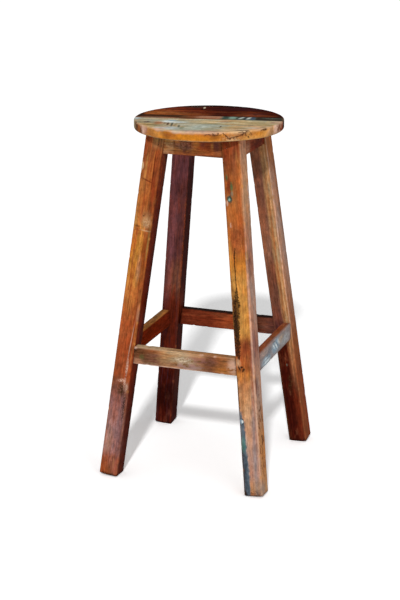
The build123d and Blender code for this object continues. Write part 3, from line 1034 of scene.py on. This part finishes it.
redRail = {"poreColour": "oxblood", "bare": "chestnut"}
frontApron = {
    "node": "apron_front", "piece": "frontApron", "seed": 41,
    "zones": [
        (-75, "orange"), (-56, "peach"), (-44, "peach"), (-38, "chestnut"), (-28, "toffee"),
        (-8, "toffee"), (2, "orange"), (18, "copper"), (35, "copper"), (48, "russet"), (75, "russet"),
    ],
    "figure": [
        ("mahogany", "mottle", 0.52, 0.62, 0.6), ("amber", "figure", 0.46, 0.36, 0.6),
        ("rust", "cloud", 0.54, 0.66, 0.5),
    ],
    "poreColour": "maroon", "bare": "chestnut", "wobble": 20,
    "stains": [
        onRail("olive", (8, -52), (9, 9), 0.7, 0.7, 0.5),
        onRail("plum", (2, -14), (13, 13), 0.6, 0.6, 0.7),
        onRail("umber", (4, -24), (15, 1.8), 0.7, 0.6, 0.8, "speck"),
        onRail("umber", (2, -14), (15, 1.6), 0.7, 0.6, 0.7, "speck"),
        onRail("umber", (6, -4), (12, 1.6), 0.7, 0.6, 0.7, "speck"),
        onRail("umber", (8, -39), (12, 1.8), 0.7, 0.6, 0.7, "speck"),
        onRail("amber", (4, 8), (7, 7), 0.7, 0.7, 0.6),
        onRail("amber", (-12, -10), (6, 60), 0.8, 0.8, 0.4, left=0.46),
        onRail("rose", (2, -20), (10, 26), 0.7, 0.9, 0.6, "speck", 0.5),
        onRail("russet", (-18, 0), (6, 85), 0.8, 0.5, 0.65),
        onRail("plum", (6, 22), (10, 6), 0.7, 0.7, 0.5),
        onRail("brick", (3, 34), (10, 7), 0.7, 0.7, 0.6),
        onRail("amber", (2, 42), (6, 3), 0.7, 0.7, 0.5),
        onRail("plum", (4, 51), (12, 6), 0.7, 0.7, 0.65),
        onRail("umber", (-20, 40), (3, 40), 0.7, 0.4, 0.6),
    ],
}
makeRail(frontApron)

backApron = {
    **redRail, "node": "apron_back", "piece": "backApron", "seed": 43,
    "zones": [(-75, "mahogany"), (-20, "brick"), (30, "russet"), (75, "mahogany")],
    "figure": [("maroon", "figure", 0.5, 0.66, 0.6), ("rust", "cloud", 0.45, 0.3, 0.5)],
    "paints": [onRail("celadon", (0, 10), (16, 50), 0.4, 0.8, 0.6, left=0.52)],
}
makeRail(backApron)

leftApron = {
    **redRail, "node": "apron_left", "piece": "leftApron", "seed": 47,
    "zones": [(-75, "russet"), (0, "mahogany"), (75, "brick")],
    "figure": [("maroon", "figure", 0.5, 0.66, 0.6), ("orange", "cloud", 0.45, 0.3, 0.5)],
    "paints": [onRail("slate", (2, -20), (14, 40), 0.4, 0.8, 0.6, left=0.54)],
}
makeRail(leftApron)

rightApron = {
    **redRail, "node": "apron_right", "piece": "rightApron", "seed": 53,
    "zones": [(-75, "rust"), (-48, "russet"), (-24, "brick"), (10, "mahogany"), (75, "brick")],
    "figure": [("maroon", "figure", 0.5, 0.66, 0.5), ("rust", "cloud", 0.45, 0.3, 0.5)],
    "stains": [onRail("rose", (-10, -46), (12, 13), 0.8, 0.6, 0.7)],
}
makeRail(rightApron)

frontStretcher = {
    "node": "stretcher_front", "piece": "frontStretcher", "seed": 59,
    "zones": [
        (-125, "cocoa"), (-95, "walnut"), (-65, "cocoa"), (-45, "tan"), (-5, "tan"), (30, "tan"),
        (55, "walnut"), (80, "chestnut"), (125, "tan"),
    ],
    "figure": [
        ("walnut", "figure", 0.5, 0.68, 0.6), ("sand", "figure", 0.46, 0.3, 0.5),
        ("olive", "cloud", 0.54, 0.68, 0.4), ("cocoa", "mottle", 0.54, 0.68, 0.45),
    ],
    "poreColour": "umber", "bare": "blush",
    "stains": [
        mark("putty", (1, 20, -55), (14, 4, 75), 0.5, 0.5),
        mark("tan", (1, 20, 40), (13, 4, 110), 0.5, 0.5, 0.8),
        onRail("cocoa", (6, 55), (12, 16), 0.7, 0.7, 0.6),
        onRail("ochre", (-11, 82), (6, 18), 0.7, 0.6, 0.5),
        onRail("umber", (9, -100), (7, 13), 0.5, 0.7, 0.8, "speck", 0.46),
        onRail("rose", (-13, -104), (7, 12), 0.6, 0.6, 0.7),
        onRail("putty", (14, -5), (3.5, 42), 0.7, 0.5, 0.6, "fibre"),
        onRail("cocoa", (-11, 15), (6, 62), 0.8, 0.6, 0.5),
        onRail("orange", (14, -68), (5, 16), 0.8, 0.6, 0.4),
    ],
    "paints": [
        onRail("oat", (-1, -6), (9, 24), 0.6, 0.8, 0.75, left=0.42),
        onRail("blush", (2, -8), (5, 14), 0.6, 0.8, 0.5, "speck", 0.5),
        onRail("pewter", (-12, 12), (6, 26), 0.6, 0.8, 0.55, left=0.46),
        onRail("blush", (1, 106), (15, 11), 0.6, 0.8, 0.6, left=0.42),
        onRail("moss", (-2, -95), (5, 5), 0.7, 0.7, 0.5),
        onRail("mauve", (6, 30), (9, 34), 0.7, 0.9, 0.6, left=0.47),
        onRail("heather", (-9, 2), (7, 30), 0.7, 0.9, 0.6, left=0.46),
        onRail("cream", (2, 0), (8, 22), 0.6, 0.9, 0.6, "speck", 0.52),
        mark("blush", (-9, -18.5, -40), (3, 2.0, 80), 0.6, 0.6, 0.85, "fibre"),
        onRail("soot", (12, -112), (6, 7), 0.6, 0.8, 0.8, "speck", 0.46),
        mark("blush", (-9, 17, -112), (4, 3, 7), 0.5, 0.6, 0.8, "speck"),
        mark("blush", (-9, 3, -119), (4, 12, 1.6), 0.5, 0.6, 0.8, "speck"),
        mark("celadon", (9, 0, 20), (5, 14, 60), 0.4, 0.8, 0.6, left=0.52),
    ],
}
makeRail(frontStretcher)

rightStretcher = {
    "node": "stretcher_right", "piece": "rightStretcher", "seed": 61,
    "zones": [
        (-125, "mauve"), (-90, "pewter"), (-20, "pewter"), (60, "pewter"), (95, "pewter"),
        (125, "mauve"),
    ],
    "figure": [("cocoa", "figure", 0.52, 0.68, 0.4), ("clay", "cloud", 0.5, 0.34, 0.5)],
    "poreColour": "umber", "bare": "rose", "mottleLight": (0.86, 1.36),
    "stains": [
        mark("russet", (2, 20.5, 0), (13, 4, 160), 0.3, 0.25),
        onRail("umber", (-19, 20), (2.5, 110), 0.6, 0.4, 0.8),
        mark("brick", (9, 0, 0), (5, 30, 160), 0.4, 0.25),
    ],
    "paints": [
        onRail("pewter", (0, 0), (24, 110), 0.5, 0.9, 0.9, left=0.36),
        onRail("sky", (-9, -64), (10, 30), 0.5, 0.8, 0.85, left=0.42),
        onRail("sky", (2, 2), (15, 28), 0.5, 0.8, 0.85, left=0.42),
        onRail("slate", (2, -46), (9, 14), 0.6, 0.8, 0.5, left=0.48),
        onRail("denim", (3, -3), (11, 2.8), 0.7, 0.8, 0.6, "speck", turn=(-53, 0, 0)),
        onRail("denim", (2, 12), (9, 2.6), 0.7, 0.8, 0.6, "speck", turn=(-50, 0, 0)),
        onRail("ice", (4, -11), (9, 3), 0.8, 0.9, 0.55, "speck", turn=(-55, 0, 0)),
        onRail("ice", (2, 5), (12, 3), 0.7, 0.9, 0.7, "speck", turn=(-52, 0, 0)),
        onRail("ice", (6, 21), (8, 3), 0.8, 0.9, 0.5, "speck", turn=(-48, 0, 0)),
        onRail("denim", (-8, -64), (2.2, 18), 0.7, 0.8, 0.5, "speck"),
        onRail("ice", (-12, -60), (3, 20), 0.7, 0.9, 0.65, "speck"),
        onRail("ice", (-5, -68), (2.4, 14), 0.8, 0.9, 0.5, "speck"),
        onRail("putty", (6, 40), (8, 22), 0.5, 0.8, 0.75, "speck", 0.5),
        onRail("mist", (-4, 70), (10, 30), 0.8, 0.9, 0.5, "speck", 0.46),
        onRail("navy", (0, -10), (17, 100), 0.5, 0.4, 0.6, "speck", 0.6),
        onRail("blush", (12, -80), (7, 26), 0.6, 0.8, 0.6, "speck", 0.5),
    ],
}
makeRail(rightStretcher)

backStretcher = {
    "node": "stretcher_back", "piece": "backStretcher", "seed": 67,
    "zones": [
        (-125, "plum"), (-75, "cocoa"), (-50, "brick"), (0, "rust"), (40, "brick"), (90, "brick"),
        (125, "mahogany"),
    ],
    "figure": [("maroon", "figure", 0.52, 0.68, 0.5), ("russet", "figure", 0.45, 0.3, 0.5)],
    "poreColour": "oxblood", "bare": "brick", "lacquer": 0.03,
    # near-black top face: painted shade
    "stains": [mark("soot", (0, 20.5, 0), (14, 4, 160), 0.3, 0.25)],
    "paints": [onRail("teal", (0, -30), (14, 60), 0.4, 0.8, 0.6, left=0.52)],
}
makeRail(backStretcher)

leftStretcher = {
    **redRail, "node": "stretcher_left", "piece": "leftStretcher", "seed": 71,
    "zones": [(-125, "claret"), (-20, "sienna"), (40, "sienna"), (125, "ember")],
    "figure": [("maroon", "figure", 0.5, 0.68, 0.5), ("brick", "figure", 0.45, 0.3, 0.5)],
    "lacquer": 0.01,
    "stains": [
        mark("amber", (0, 20.5, 0), (13, 4, 160), 0.3, 0.25),
        mark("tan", (0, 20.5, -40), (9, 4, 70), 0.6, 0.5, 0.6, "fibre"),
    ],
    "paints": [onRail("sky", (0, 20), (14, 60), 0.4, 0.8, 0.6, left=0.54)],
}
makeRail(leftStretcher)

# seat: five boards of one round; in their frame x runs to the back, y up from the top, z to the right
seat = {
    "radius": 155 * mm,
    "turn": math.radians(11),  # the boards run a little askew to the front
    "joints": (-68 * mm, -12 * mm, 24 * mm, 88 * mm),
    "topArris": 2.5 * mm,
    "underArris": 4.5 * mm,
    "arrisSegments": 5,
    "jointArris": 0.6 * mm,
    "jointSegments": 2,
    "rimSegments": 288,
    "rimRows": 5,
    "spacing": 3.2 * mm,
    "closest": 0.15 * mm,  # vertices nearer than this are joined
    "crackDepth": 1.2 * mm,
    "crackRagged": 0.5,
    "crackGrid": 0.7 * mm,
}
boardWear = {
    "reach": 4.5 * mm,
    "ease": 0.4 * mm,
    "easeShift": (0, 0, 0),
    "easedBare": 0.6,
    "chip": 1.3 * mm,
    "chipPitch": 14 * mm,
    "underShift": 40,  # keeps the chips of the lower edge apart from the upper ones
    "chipLevels": (0.25, 0.6),
    "splinter": 3 * mm,
    "wave": 0.2 * mm,
    "wavePitch": 45 * mm,
    "grime": (1.6 * mm, 0.3 * mm, 0.85),  # where it begins and is full at a joint, how strong it is
    "rimClean": (6 * mm, 1 * mm, 0.7),  # the rim is rubbed cleaner
}
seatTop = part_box("seat_board_middle")[1].z
seatThickness = seatTop - seatUnderside
boardAlong = Vector((math.cos(seat["turn"]), math.sin(seat["turn"]), 0))
boardFrame = pieceFrame(Vector((0, 0, seatTop)), plumb.cross(boardAlong), plumb, boardAlong)


def onTop(colour, at, size, *brush, deep=markDepth, **more):
    # a mark on the top of the seat: to the back and to the right
    return mark(colour, (at[0], 0, at[1]), (size[0], deep, size[1]), *brush, **more)


def sliceAcross(mesh, axis, low, high, spacing):
    # cuts a grid line every so often along an axis
    count = max(1, round((high - low) / spacing))
    normal = [float(i == axis) for i in range(3)]
    for i in range(1, count):
        point = [0.0, 0.0, 0.0]
        point[axis] = low + (high - low) * i / count
        everything = mesh.verts[:] + mesh.edges[:] + mesh.faces[:]
        bmesh.ops.bisect_plane(mesh, geom=everything, dist=1e-6, plane_co=point, plane_no=normal)


def cutBoard(low, high):
    # one board of the round, between two joints: x along it, y across it, top at z = 0
    radius = seat["radius"]
    board = bmesh.new()
    bmesh.ops.create_cone(
        board, cap_ends=True, segments=seat["rimSegments"], radius1=radius, radius2=radius,
        depth=seatThickness, matrix=Matrix.Translation((0, 0, -seatThickness / 2)),
    )
    for height, arris in ((0, seat["topArris"]), (-seatThickness, seat["underArris"])):
        ring = [e for e in board.edges if all(abs(v.co.z - height) < 1e-6 for v in e.verts)]
        roundEdges(board, ring, arris, seat["arrisSegments"])
    if low is not None:
        cutOff(board, (0, low, 0), (0, -1, 0))
    if high is not None:
        cutOff(board, (0, high, 0), (0, 1, 0))
    roundEdges(board, edgesAlong(board, 0, radius / 2), seat["jointArris"], seat["jointSegments"])
    lowest = low if low is not None else -radius
    highest = high if high is not None else radius
    sliceAcross(board, 1, lowest, highest, seat["spacing"])
    sliceAcross(board, 0, -radius, radius, seat["spacing"])
    sliceAcross(board, 2, -seatThickness, 0, seatThickness / seat["rimRows"])
    bmesh.ops.remove_doubles(board, verts=board.verts, dist=seat["closest"])
    return board


def wearBoard(board, joints, seed):
    # chips the rim, lets the faces wave and leaves dirt along the joints
    wornLayer = board.verts.layers.float.new("wear")
    grimeLayer = board.verts.layers.float.new("grime")
    board.normal_update()
    begins, full, dirt = boardWear["grime"]
    cleanFrom, cleanTo, rubbed = boardWear["rimClean"]
    for vert in board.verts:
        x, y, z = vert.co
        outward = Vector((x, y, 0))
        toRim = seat["radius"] - outward.length
        toFace = min(-z, seatThickness + z)
        corner = max(0, 1 - max(toRim, toFace) / boardWear["reach"])
        push = boardWear["wave"] * noise.noise(vert.co / boardWear["wavePitch"] + Vector((seed, 0, 0)))
        toJoint = min(abs(y - joint) for joint in joints)
        atRim = 1 - rubbed * smooth(cleanFrom, cleanTo, toRim)
        vert[grimeLayer] = dirt * atRim * smooth(begins, full, toJoint)
        if corner:
            upper = z > -seatThickness / 2
            inward = (Vector((0, 0, -1 if upper else 1)) - outward.normalized()).normalized()
            angle = math.atan2(y, x) * seat["radius"] / boardWear["chipPitch"]
            line = Vector((angle, seed + (0 if upper else boardWear["underShift"]), 0))
            chipEdge(vert, wornLayer, line, inward, corner, boardWear)
        vert.co += vert.normal * push


def boardPoint(station):
    # (across, up, along, half width) in mm, as the marks are given, to a place in the mesh
    across, up, along, width = station
    return Vector((along, across, up)) * mm, width * mm


def rimPoint(station):
    # (degrees round the rim, mm under the top, half width) to a place in the mesh
    degrees, under, width = station
    turned = math.radians(degrees)
    x = math.cos(turned) * seat["radius"]
    y = math.sin(turned) * seat["radius"]
    return Vector((x, y, -under * mm)), width * mm


def makeBoard(look, low, high):
    board = cutBoard(low, high)
    wearBoard(board, [joint for joint in (low, high) if joint is not None], look["seed"])
    for crack in look.get("cracks", []):
        path = [rimPoint(station) for station in crack]
        hollow(board, path, seat["crackDepth"], seat["crackRagged"], seat["crackGrid"])
    if "slot" in look:
        path = [boardPoint(station) for station in look["slot"]["path"]]
        hollow(board, path, look["slot"]["depth"] * mm, look["slot"]["ragged"], seat["crackGrid"])
    turned = Matrix.Translation((0, 0, seatTop)) @ Matrix.Rotation(seat["turn"], 4, "Z")
    bmesh.ops.transform(board, matrix=turned, verts=board.verts)
    piece = addPiece(look, board, boardFrame)
    print("board:", look["piece"], len(piece.data.polygons), "faces")


paleBoard = {
    "poreColour": "walnut", "bare": "putty", "pores": 0.3, "lacquer": 0.03, "coarse": 1.8,
    "fibreLight": (0.86, 1.26), "mottleLight": (0.8, 1.32), "specks": 0.7,
}
paleFigure = [
    ("tan", "cloud", 0.54, 0.66, 0.4), ("walnut", "mottle", 0.6, 0.68, 0.5),
    ("cream", "mottle", 0.42, 0.34, 0.6), ("umber", "fibre", 0.64, 0.72, 0.5),
]
redBoard = {"lacquer": 0.01, "coarse": 2.0, "mottleLight": (0.64, 1.36)}

# what lies across the joint of the two pale boards
jointStain = onTop("walnut", (-68, 66), (3, 26), 0.7, 0.6, 0.75, deep=4)
strokes = [  # scratches
    onTop("walnut", (-67, -80), (9, 3.0), 0.8, 0.9, 0.7, "speck", deep=4),
    onTop("umber", (-75, -73), (15, 2.6), 0.6, 0.6, 0.9, "speck", deep=4, turn=(0, 4, 0)),
    onTop("pine", (-80, -64), (20, 2.2), 0.6, 0.6, 0.85, "speck", deep=4, turn=(0, 5, 0)),
    onTop("olive", (-84, -56), (12, 2.8), 0.8, 0.9, 0.6, "speck", deep=4),
    onTop("pine", (-97, -47), (12, 2.4), 0.6, 0.6, 0.8, "speck", deep=4, turn=(0, 7, 0)),
    onTop("moss", (-114, -38), (9, 4.0), 0.8, 0.9, 0.6, "speck", deep=4),
]
frontBoard = {
    **paleBoard, "node": "seat_board_front", "piece": "frontBoard", "seed": 81,
    "zones": [
        (-155, "tan"), (-112, "straw"), (-80, "flax"), (-35, "flax"), (0, "celadon"), (35, "flax"),
        (60, "straw"), (100, "putty"), (155, "putty"),
    ],
    "figure": [("olive", "figure", 0.52, 0.62, 0.6), ("cream", "figure", 0.47, 0.37, 0.7), *paleFigure],
    "stains": [
        onTop("rose", (-146, 10), (10, 60), 0.8, 0.5, 0.6),
        onTop("olive", (-118, 16), (12, 15), 0.8, 0.5, 0.45),
        onTop("olive", (-90, -102), (12, 20), 0.8, 0.6, 0.65),
        onTop("orange", (-76, -93), (9, 8), 0.7, 0.7, 0.75),
        jointStain,
    ],
    "paints": [
        onTop("celadon", (-96, -3), (18, 24), 0.6, 0.7, 0.9),
        onTop("ice", (-96, -2), (8, 14), 0.7, 0.8, 0.3, left=0.42),
        onTop("blush", (-149, -20), (7, 70), 0.6, 0.6, 0.8),
        onTop("mist", (-120, -62), (16, 16), 0.6, 0.9, 0.8, left=0.43),
        onTop("blush", (-126, -82), (10, 13), 0.6, 0.7, 0.8),
        onTop("blush", (-97, 106), (12, 12), 0.7, 0.7, 0.7),
        onTop("putty", (-128, 70), (14, 34), 0.8, 0.7, 0.7),
        onTop("honey", (-118, 112), (14, 14), 0.8, 0.6, 0.6),
        onTop("umber", (-121, 84), (3.4, 18), 0.6, 0.8, 0.9, "speck", deep=4),
        onTop("umber", (-104, 78), (2.6, 22), 0.6, 0.8, 0.6, "speck", deep=4),
        onTop("cream", (-94, 97), (7, 12), 0.7, 0.8, 0.7),
        onTop("ice", (-116, -84), (6, 10), 0.7, 0.8, 0.5),
        onTop("cream", (-131, -63), (6, 12), 0.7, 0.8, 0.75),
        onTop("cream", (-145, -40), (5, 12), 0.7, 0.8, 0.65),
        *strokes,
    ],
    # pale top arris of the rim: worn bare wood and a painted highlight
    "arrisBareAndHighlight": 0.45,
    "rim": [
        # the blush stop is a painted highlight on the rose rim
        (-139, "walnut"), (-133, "orange"), (-127, "chestnut"), (-121, "blush"), (-111, "rose"),
        (-104, "gold"), (-92, "ochre"), (-76, "saffron"), (40, "saffron"), (62, "honey"),
        (128, "honey"), (136, "peach"),
    ],
    "rimStains": [
        mark("chestnut", (-144, -10, -58), (20, 7, 13), 0.8, 0.8, 0.6),
        mark("rust", (-154, -5, 12), (10, 4, 16), 0.8, 0.8, 0.45, "speck"),
        mark("chestnut", (-150, -12, 36), (12, 5, 14), 0.8, 0.8, 0.5),
        mark("putty", (-142, -16, 68), (14, 4, 12), 0.6, 0.8, 0.7, "speck", 0.46),
        mark("russet", (-143, -9, 60), (14, 7, 9), 0.8, 0.9, 0.6, "speck"),
        mark("russet", (-133, -8, 80), (14, 8, 12), 0.8, 0.9, 0.55, "speck"),
        mark("brick", (-130, -4, 88), (10, 5, 7), 0.8, 0.9, 0.6, "speck"),
        mark("russet", (-152, -5, 30), (10, 4, 10), 0.8, 0.9, 0.6, "speck"),
        mark("rust", (-118, -12, -100), (14, 6, 12), 0.8, 0.9, 0.5),
        mark("brick", (-112, -7, 108), (14, 5, 8), 0.8, 0.9, 0.5, "speck"),
        mark("umber", (-135, -2.4, -76), (8, 1.5, 6), 0.7, 0.7, 0.8, "speck"),
        mark("umber", (-128, -9, 86), (24, 9, 34), 0.5, 0.6, 0.8, "speck", 0.6),
        mark("umber", (-150, -7, 24), (14, 5, 42), 0.5, 0.6, 0.6, "speck", 0.6),
        mark("putty", (-140, -13, 64), (14, 5, 20), 0.6, 0.7, 0.6, "speck", 0.58),
        mark("rust", (-140, -9, -64), (22, 8, 24), 0.6, 0.7, 0.6, "speck", 0.54),
        mark("honey", (-128, -10, -86), (20, 7, 16), 0.7, 0.8, 0.6),
        mark("umber", (-90, -2.5, 126), (9, 2.6, 7), 0.6, 0.7, 0.9, "speck"),
        mark("saffron", (-103, -8, 116), (12, 7, 12), 0.8, 0.8, 0.7),
        mark("umber", (-91, -13, -126), (8, 5, 5), 0.8, 0.8, 0.7, "speck"),
    ],
    "slot": {"depth": 2.0, "ragged": 0.2, "path": [(-81, 0, 37.5, 1.7), (-95, 0, 36, 1.5)]},
    "dirt": "umber",
    "cracks": [  # degrees round the rim, mm under the top, half width
        [(285.0, 0.3, 0.8), (285.3, 2.6, 1.0), (284.8, 5.0, 0.9)],
        [(275.4, 5.4, 0.8), (278.6, 4.6, 1.0), (279.4, 6.2, 0.9)],
        [(281.2, 2.6, 0.8), (281.6, 6.6, 1.0)],
        [(281.8, 6.8, 0.8), (287.4, 5.4, 0.8)],
        [(288.6, 2.2, 0.8), (290.0, 5.2, 1.0), (291.3, 8.8, 1.3), (292.8, 13.0, 1.5), (294.2, 15.0, 1.2)],
        [(292.8, 13.4, 1.3), (296.0, 12.4, 0.9), (298.6, 10.6, 1.1), (301.0, 9.6, 0.9), (304.1, 7.0, 1.2)],
        [(296.2, 12.4, 0.8), (297.4, 15.4, 0.9)],
        [(298.8, 10.6, 0.7), (299.8, 14.0, 0.8)],
        [(303.6, 0.2, 0.8), (304.5, 4.0, 1.0), (303.8, 8.4, 1.2)],
        [(307.4, 0.4, 0.8), (306.2, 5.0, 1.1), (306.8, 10.5, 0.9)],
        [(304.4, 4.4, 0.7), (306.3, 3.2, 0.8)],
        [(300.8, 2.8, 0.7), (304.2, 1.8, 0.8)],
        [(308.3, 11.4, 1.3), (309.2, 14.2, 1.3)],
        [(310.6, 5.0, 0.7), (311.4, 8.2, 0.8)],
        [(325.0, 1.4, 1.4), (325.9, 3.0, 1.5)],
        [(320.4, 3.0, 0.8), (325.0, 2.0, 1.0)],
    ],
}
midFrontBoard = {
    **paleBoard, "node": "seat_board_mid_front", "piece": "midFrontBoard", "seed": 83,
    "zones": [
        (-155, "flax"), (-90, "flax"), (-40, "flax"), (0, "straw"), (60, "straw"), (155, "straw"),
    ],
    "figure": [("olive", "figure", 0.52, 0.62, 0.6), ("cream", "figure", 0.47, 0.37, 0.6), *paleFigure],
    "stains": [
        onTop("orange", (-60, -94), (10, 9), 0.7, 0.7, 0.75),
        onTop("rose", (-32, 36), (14, 10), 0.8, 0.6, 0.55),
        onTop("olive", (-45, 106), (12, 16), 0.8, 0.6, 0.4),
        onTop("rose", (-33, 138), (12, 9), 0.8, 0.6, 0.6),
        jointStain,
    ],
    "paints": [
        onTop("celadon", (-52, -56), (12, 15), 0.6, 0.7, 0.85),
        onTop("celadon", (-41, -76), (14, 17), 0.5, 0.8, 0.95, left=0.36),
        onTop("ice", (-47, -77), (9, 11), 0.5, 0.8, 0.8, left=0.44),
        onTop("sky", (-38, -70), (6, 9), 0.6, 0.8, 0.8, "speck", deep=4),
        onTop("ice", (-54, -58), (6, 16), 0.5, 0.8, 0.9, "speck", 0.46, deep=4),
        onTop("aubergine", (-60, -119), (6, 7), 0.6, 0.8, 0.85, "speck", 0.42, deep=4),
        onTop("mist", (-25, -147), (12, 7), 0.7, 0.7, 0.7),
        onTop("ice", (-16, -148), (5, 6), 0.7, 0.7, 0.6, deep=4),
        onTop("blush", (-23, 146), (10, 9), 0.8, 0.7, 0.7),
        *strokes,
        onTop("ice", (-55, -66), (5, 24), 0.5, 0.8, 0.9, "speck", 0.42, deep=4),
    ],
    "rim": [
        # the blush stop is a painted highlight on the rim
        (-156, "pewter"), (-148, "oat"), (-138, "walnut"), (139, "peach"), (146, "blush"),
        (150.5, "rose"), (153.5, "brick"),
    ],
}
middleBoard = {
    "node": "seat_board_middle", "piece": "middleBoard", "seed": 89,
    "zones": [
        (-155, "umber"), (-66, "umber"), (-52, "walnut"), (-34, "russet"), (-16, "rose"), (20, "rose"),
        (29, "jade"), (92, "jade"), (99, "char"), (155, "char"),
    ],
    "figure": [("umber", "figure", 0.54, 0.7, 0.4), ("tan", "figure", 0.42, 0.3, 0.2)],
    "poreColour": "soot", "bare": "tan", "wobble": 12, "lacquer": 0.02,
    "stains": [
        onTop("rose", (-8, -106), (7, 46), 0.4, 0.4, 0.85, deep=4),
        onTop("walnut", (-9, -12), (5, 42), 0.4, 0.4, 0.9, deep=4),
        onTop("soot", (-9, 25), (5, 9), 0.6, 0.5, 0.8, deep=4),
        onTop("soot", (18, -110), (7, 34), 0.8, 0.6, 0.4, deep=4),
        onTop("soot", (14, -150), (9, 9), 0.7, 0.6, 0.8, deep=4),
        onTop("soot", (8, 108), (8, 13), 0.7, 0.6, 0.6, deep=4),
    ],
    "paints": [
        onTop("pine", (9, 34), (17, 7), 0.5, 0.6, 0.9, deep=4),
        onTop("foam", (10, 48), (14, 7), 0.6, 0.6, 0.85, deep=4),
        onTop("pine", (4, 60), (18, 4), 0.6, 0.6, 0.8, deep=4),
        onTop("ice", (9, 66), (12, 3.2), 0.6, 0.8, 0.85, "speck", deep=4, turn=(0, -24, 0)),
        onTop("navy", (6, 75), (18, 4), 0.5, 0.6, 0.8, deep=4),
        onTop("ice", (10, 82), (11, 3.4), 0.6, 0.8, 0.8, "speck", deep=4, turn=(0, -16, 0)),
        onTop("denim", (6, 90), (17, 5), 0.5, 0.6, 0.9, deep=4),
        onTop("jade", (14, 127), (6, 17), 0.6, 0.8, 0.7, "speck", 0.48, deep=4),
    ],
    "rim": [(-156, "char"), (-140, "umber"), (140, "umber"), (156, "char")],
}
midBackBoard = {
    **redBoard, "node": "seat_board_mid_back", "piece": "midBackBoard", "seed": 97,
    "zones": [
        (-155, "rust"), (-85, "rust"), (-45, "brick"), (-10, "mahogany"), (40, "maroon"),
        (155, "maroon"),
    ],
    "figure": [
        ("oxblood", "figure", 0.51, 0.6, 0.6), ("orange", "figure", 0.46, 0.36, 0.5),
        ("rust", "cloud", 0.54, 0.66, 0.4), ("soot", "mottle", 0.58, 0.68, 0.5),
    ],
    "poreColour": "oxblood", "bare": "rust",
    "stains": [
        onTop("orange", (44, -122), (20, 36), 0.9, 0.6, 0.85),
        onTop("chestnut", (38, -62), (15, 45), 0.9, 0.6, 0.7),
        onTop("russet", (42, 78), (16, 28), 0.9, 0.6, 0.5),
        onTop("plum", (52, 92), (14, 16), 0.9, 0.6, 0.6),
        onTop("soot", (40, 12), (14, 10), 0.9, 0.6, 0.4),
        onTop("soot", (36, -149), (14, 9), 0.7, 0.6, 0.85),
        onTop("soot", (52, 147), (36, 10), 0.8, 0.5, 0.8),
    ],
    "rim": [(-156, "russet"), (-120, "mahogany"), (156, "oxblood")],
}
backBoard = {
    **redBoard, "node": "seat_board_back", "piece": "backBoard", "seed": 101,
    "zones": [
        (-155, "brick"), (-100, "brick"), (-62, "mahogany"), (-20, "maroon"), (30, "oxblood"),
        (155, "oxblood"),
    ],
    "figure": [
        ("oxblood", "figure", 0.5, 0.6, 0.7), ("brick", "figure", 0.44, 0.34, 0.4),
        ("soot", "mottle", 0.56, 0.66, 0.5),
    ],
    "poreColour": "soot", "bare": "mahogany",
    "stains": [
        # dark band along the back edge of the seat: dark wood and painted shade
        mark("soot", (158, 0, 10), (30, 6, 130), 0.7, 0.3, 0.85),
        onTop("char", (132, -48), (14, 20), 0.8, 0.6, 0.7),
        onTop("aubergine", (112, 60), (18, 60), 0.9, 0.6, 0.3),
    ],
    "paints": [
        onTop("cream", (118, -27), (9, 2.5), 0.4, 0.3, 0.95, deep=4, turn=(0, 4, 0)),
        onTop("soot", (100, -30), (9, 1.8), 0.5, 0.4, 0.8, deep=4),
    ],
    "rim": [(-156, "oxblood"), (156, "soot")],
    "slot": {"depth": 3.0, "ragged": 0.3, "path": [(153, -1, 29, 3.0), (152, -1, 33, 3.4)]},
}
boards = (frontBoard, midFrontBoard, middleBoard, midBackBoard, backBoard)
lows = (None,) + seat["joints"]
highs = seat["joints"] + (None,)
for look, low, high in zip(boards, lows, highs):
    makeBoard(look, low, high)

# fastenings that stay as they were drawn
dowels = {
    "node": "seat_dowels", "piece": "dowelBeech", "seed": 7, "poreColour": "tan", "bare": "putty",
    "zones": [(-160, "beech"), (160, "beech")],
    "figure": [("sand", "figure", 0.5, 0.66, 0.5), ("putty", "figure", 0.45, 0.3, 0.4)],
}
dowelFrame = pieceFrame(Vector((0, 0, seatTop)), boardAlong, plumb, boardAlong.cross(plumb))
dowelMaterial = woodMaterial(dowels, dowelFrame)
steel = {
    "nodes": ("seat_screws", "apron_brads", "stretcher_brads"),
    "bright": (0.42, 0.41, 0.40, 1),
    "rusty": (0.11, 0.055, 0.03, 1),
    "patch": 0.35 / mm,  # rust patches to the metre
    "patchDetail": 5.0,
    "rustLevels": (0.42, 0.6),
    "metallic": (1, 0.2),  # bright, rusty
    "roughLevels": (0.35, 0.65),
    "rough": (0.35, 0.75),
    "pits": 0.05 * mm,
    "pitStrength": 0.5,
}
steelMaterial = bpy.data.materials.new("oldSteel")
steelMaterial.use_nodes = True
steelTree = steelMaterial.node_tree
steelShader = steelTree.nodes["Principled BSDF"]
steelPlace = addNode(steelTree, "TexCoord", {}).outputs["Object"]
patches = {"Vector": steelPlace, "Scale": steel["patch"], "Detail": steel["patchDetail"]}
rust = addNode(steelTree, "TexNoise", patches).outputs["Fac"]
rusted = rampBetween(steelTree, rust, *steel["rustLevels"])
pitted = {"Height": rust, "Distance": steel["pits"], "Strength": steel["pitStrength"]}
steelFinish = {
    "Base Color": blendColour(steelTree, rusted, steel["bright"], steel["rusty"]),
    "Roughness": rampBetween(steelTree, rust, *steel["roughLevels"], *steel["rough"]),
    "Metallic": rampBetween(steelTree, rust, *steel["rustLevels"], *steel["metallic"]),
    "Normal": addNode(steelTree, "Bump", pitted).outputs[0],
}
for socket, value in steelFinish.items():
    steelTree.links.new(value, steelShader.inputs[socket])
for node in (dowels["node"],) + steel["nodes"]:
    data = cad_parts[node].data
    data.materials.clear()
    data.materials.append(dowelMaterial if node == dowels["node"] else steelMaterial)
print("fastenings finished")
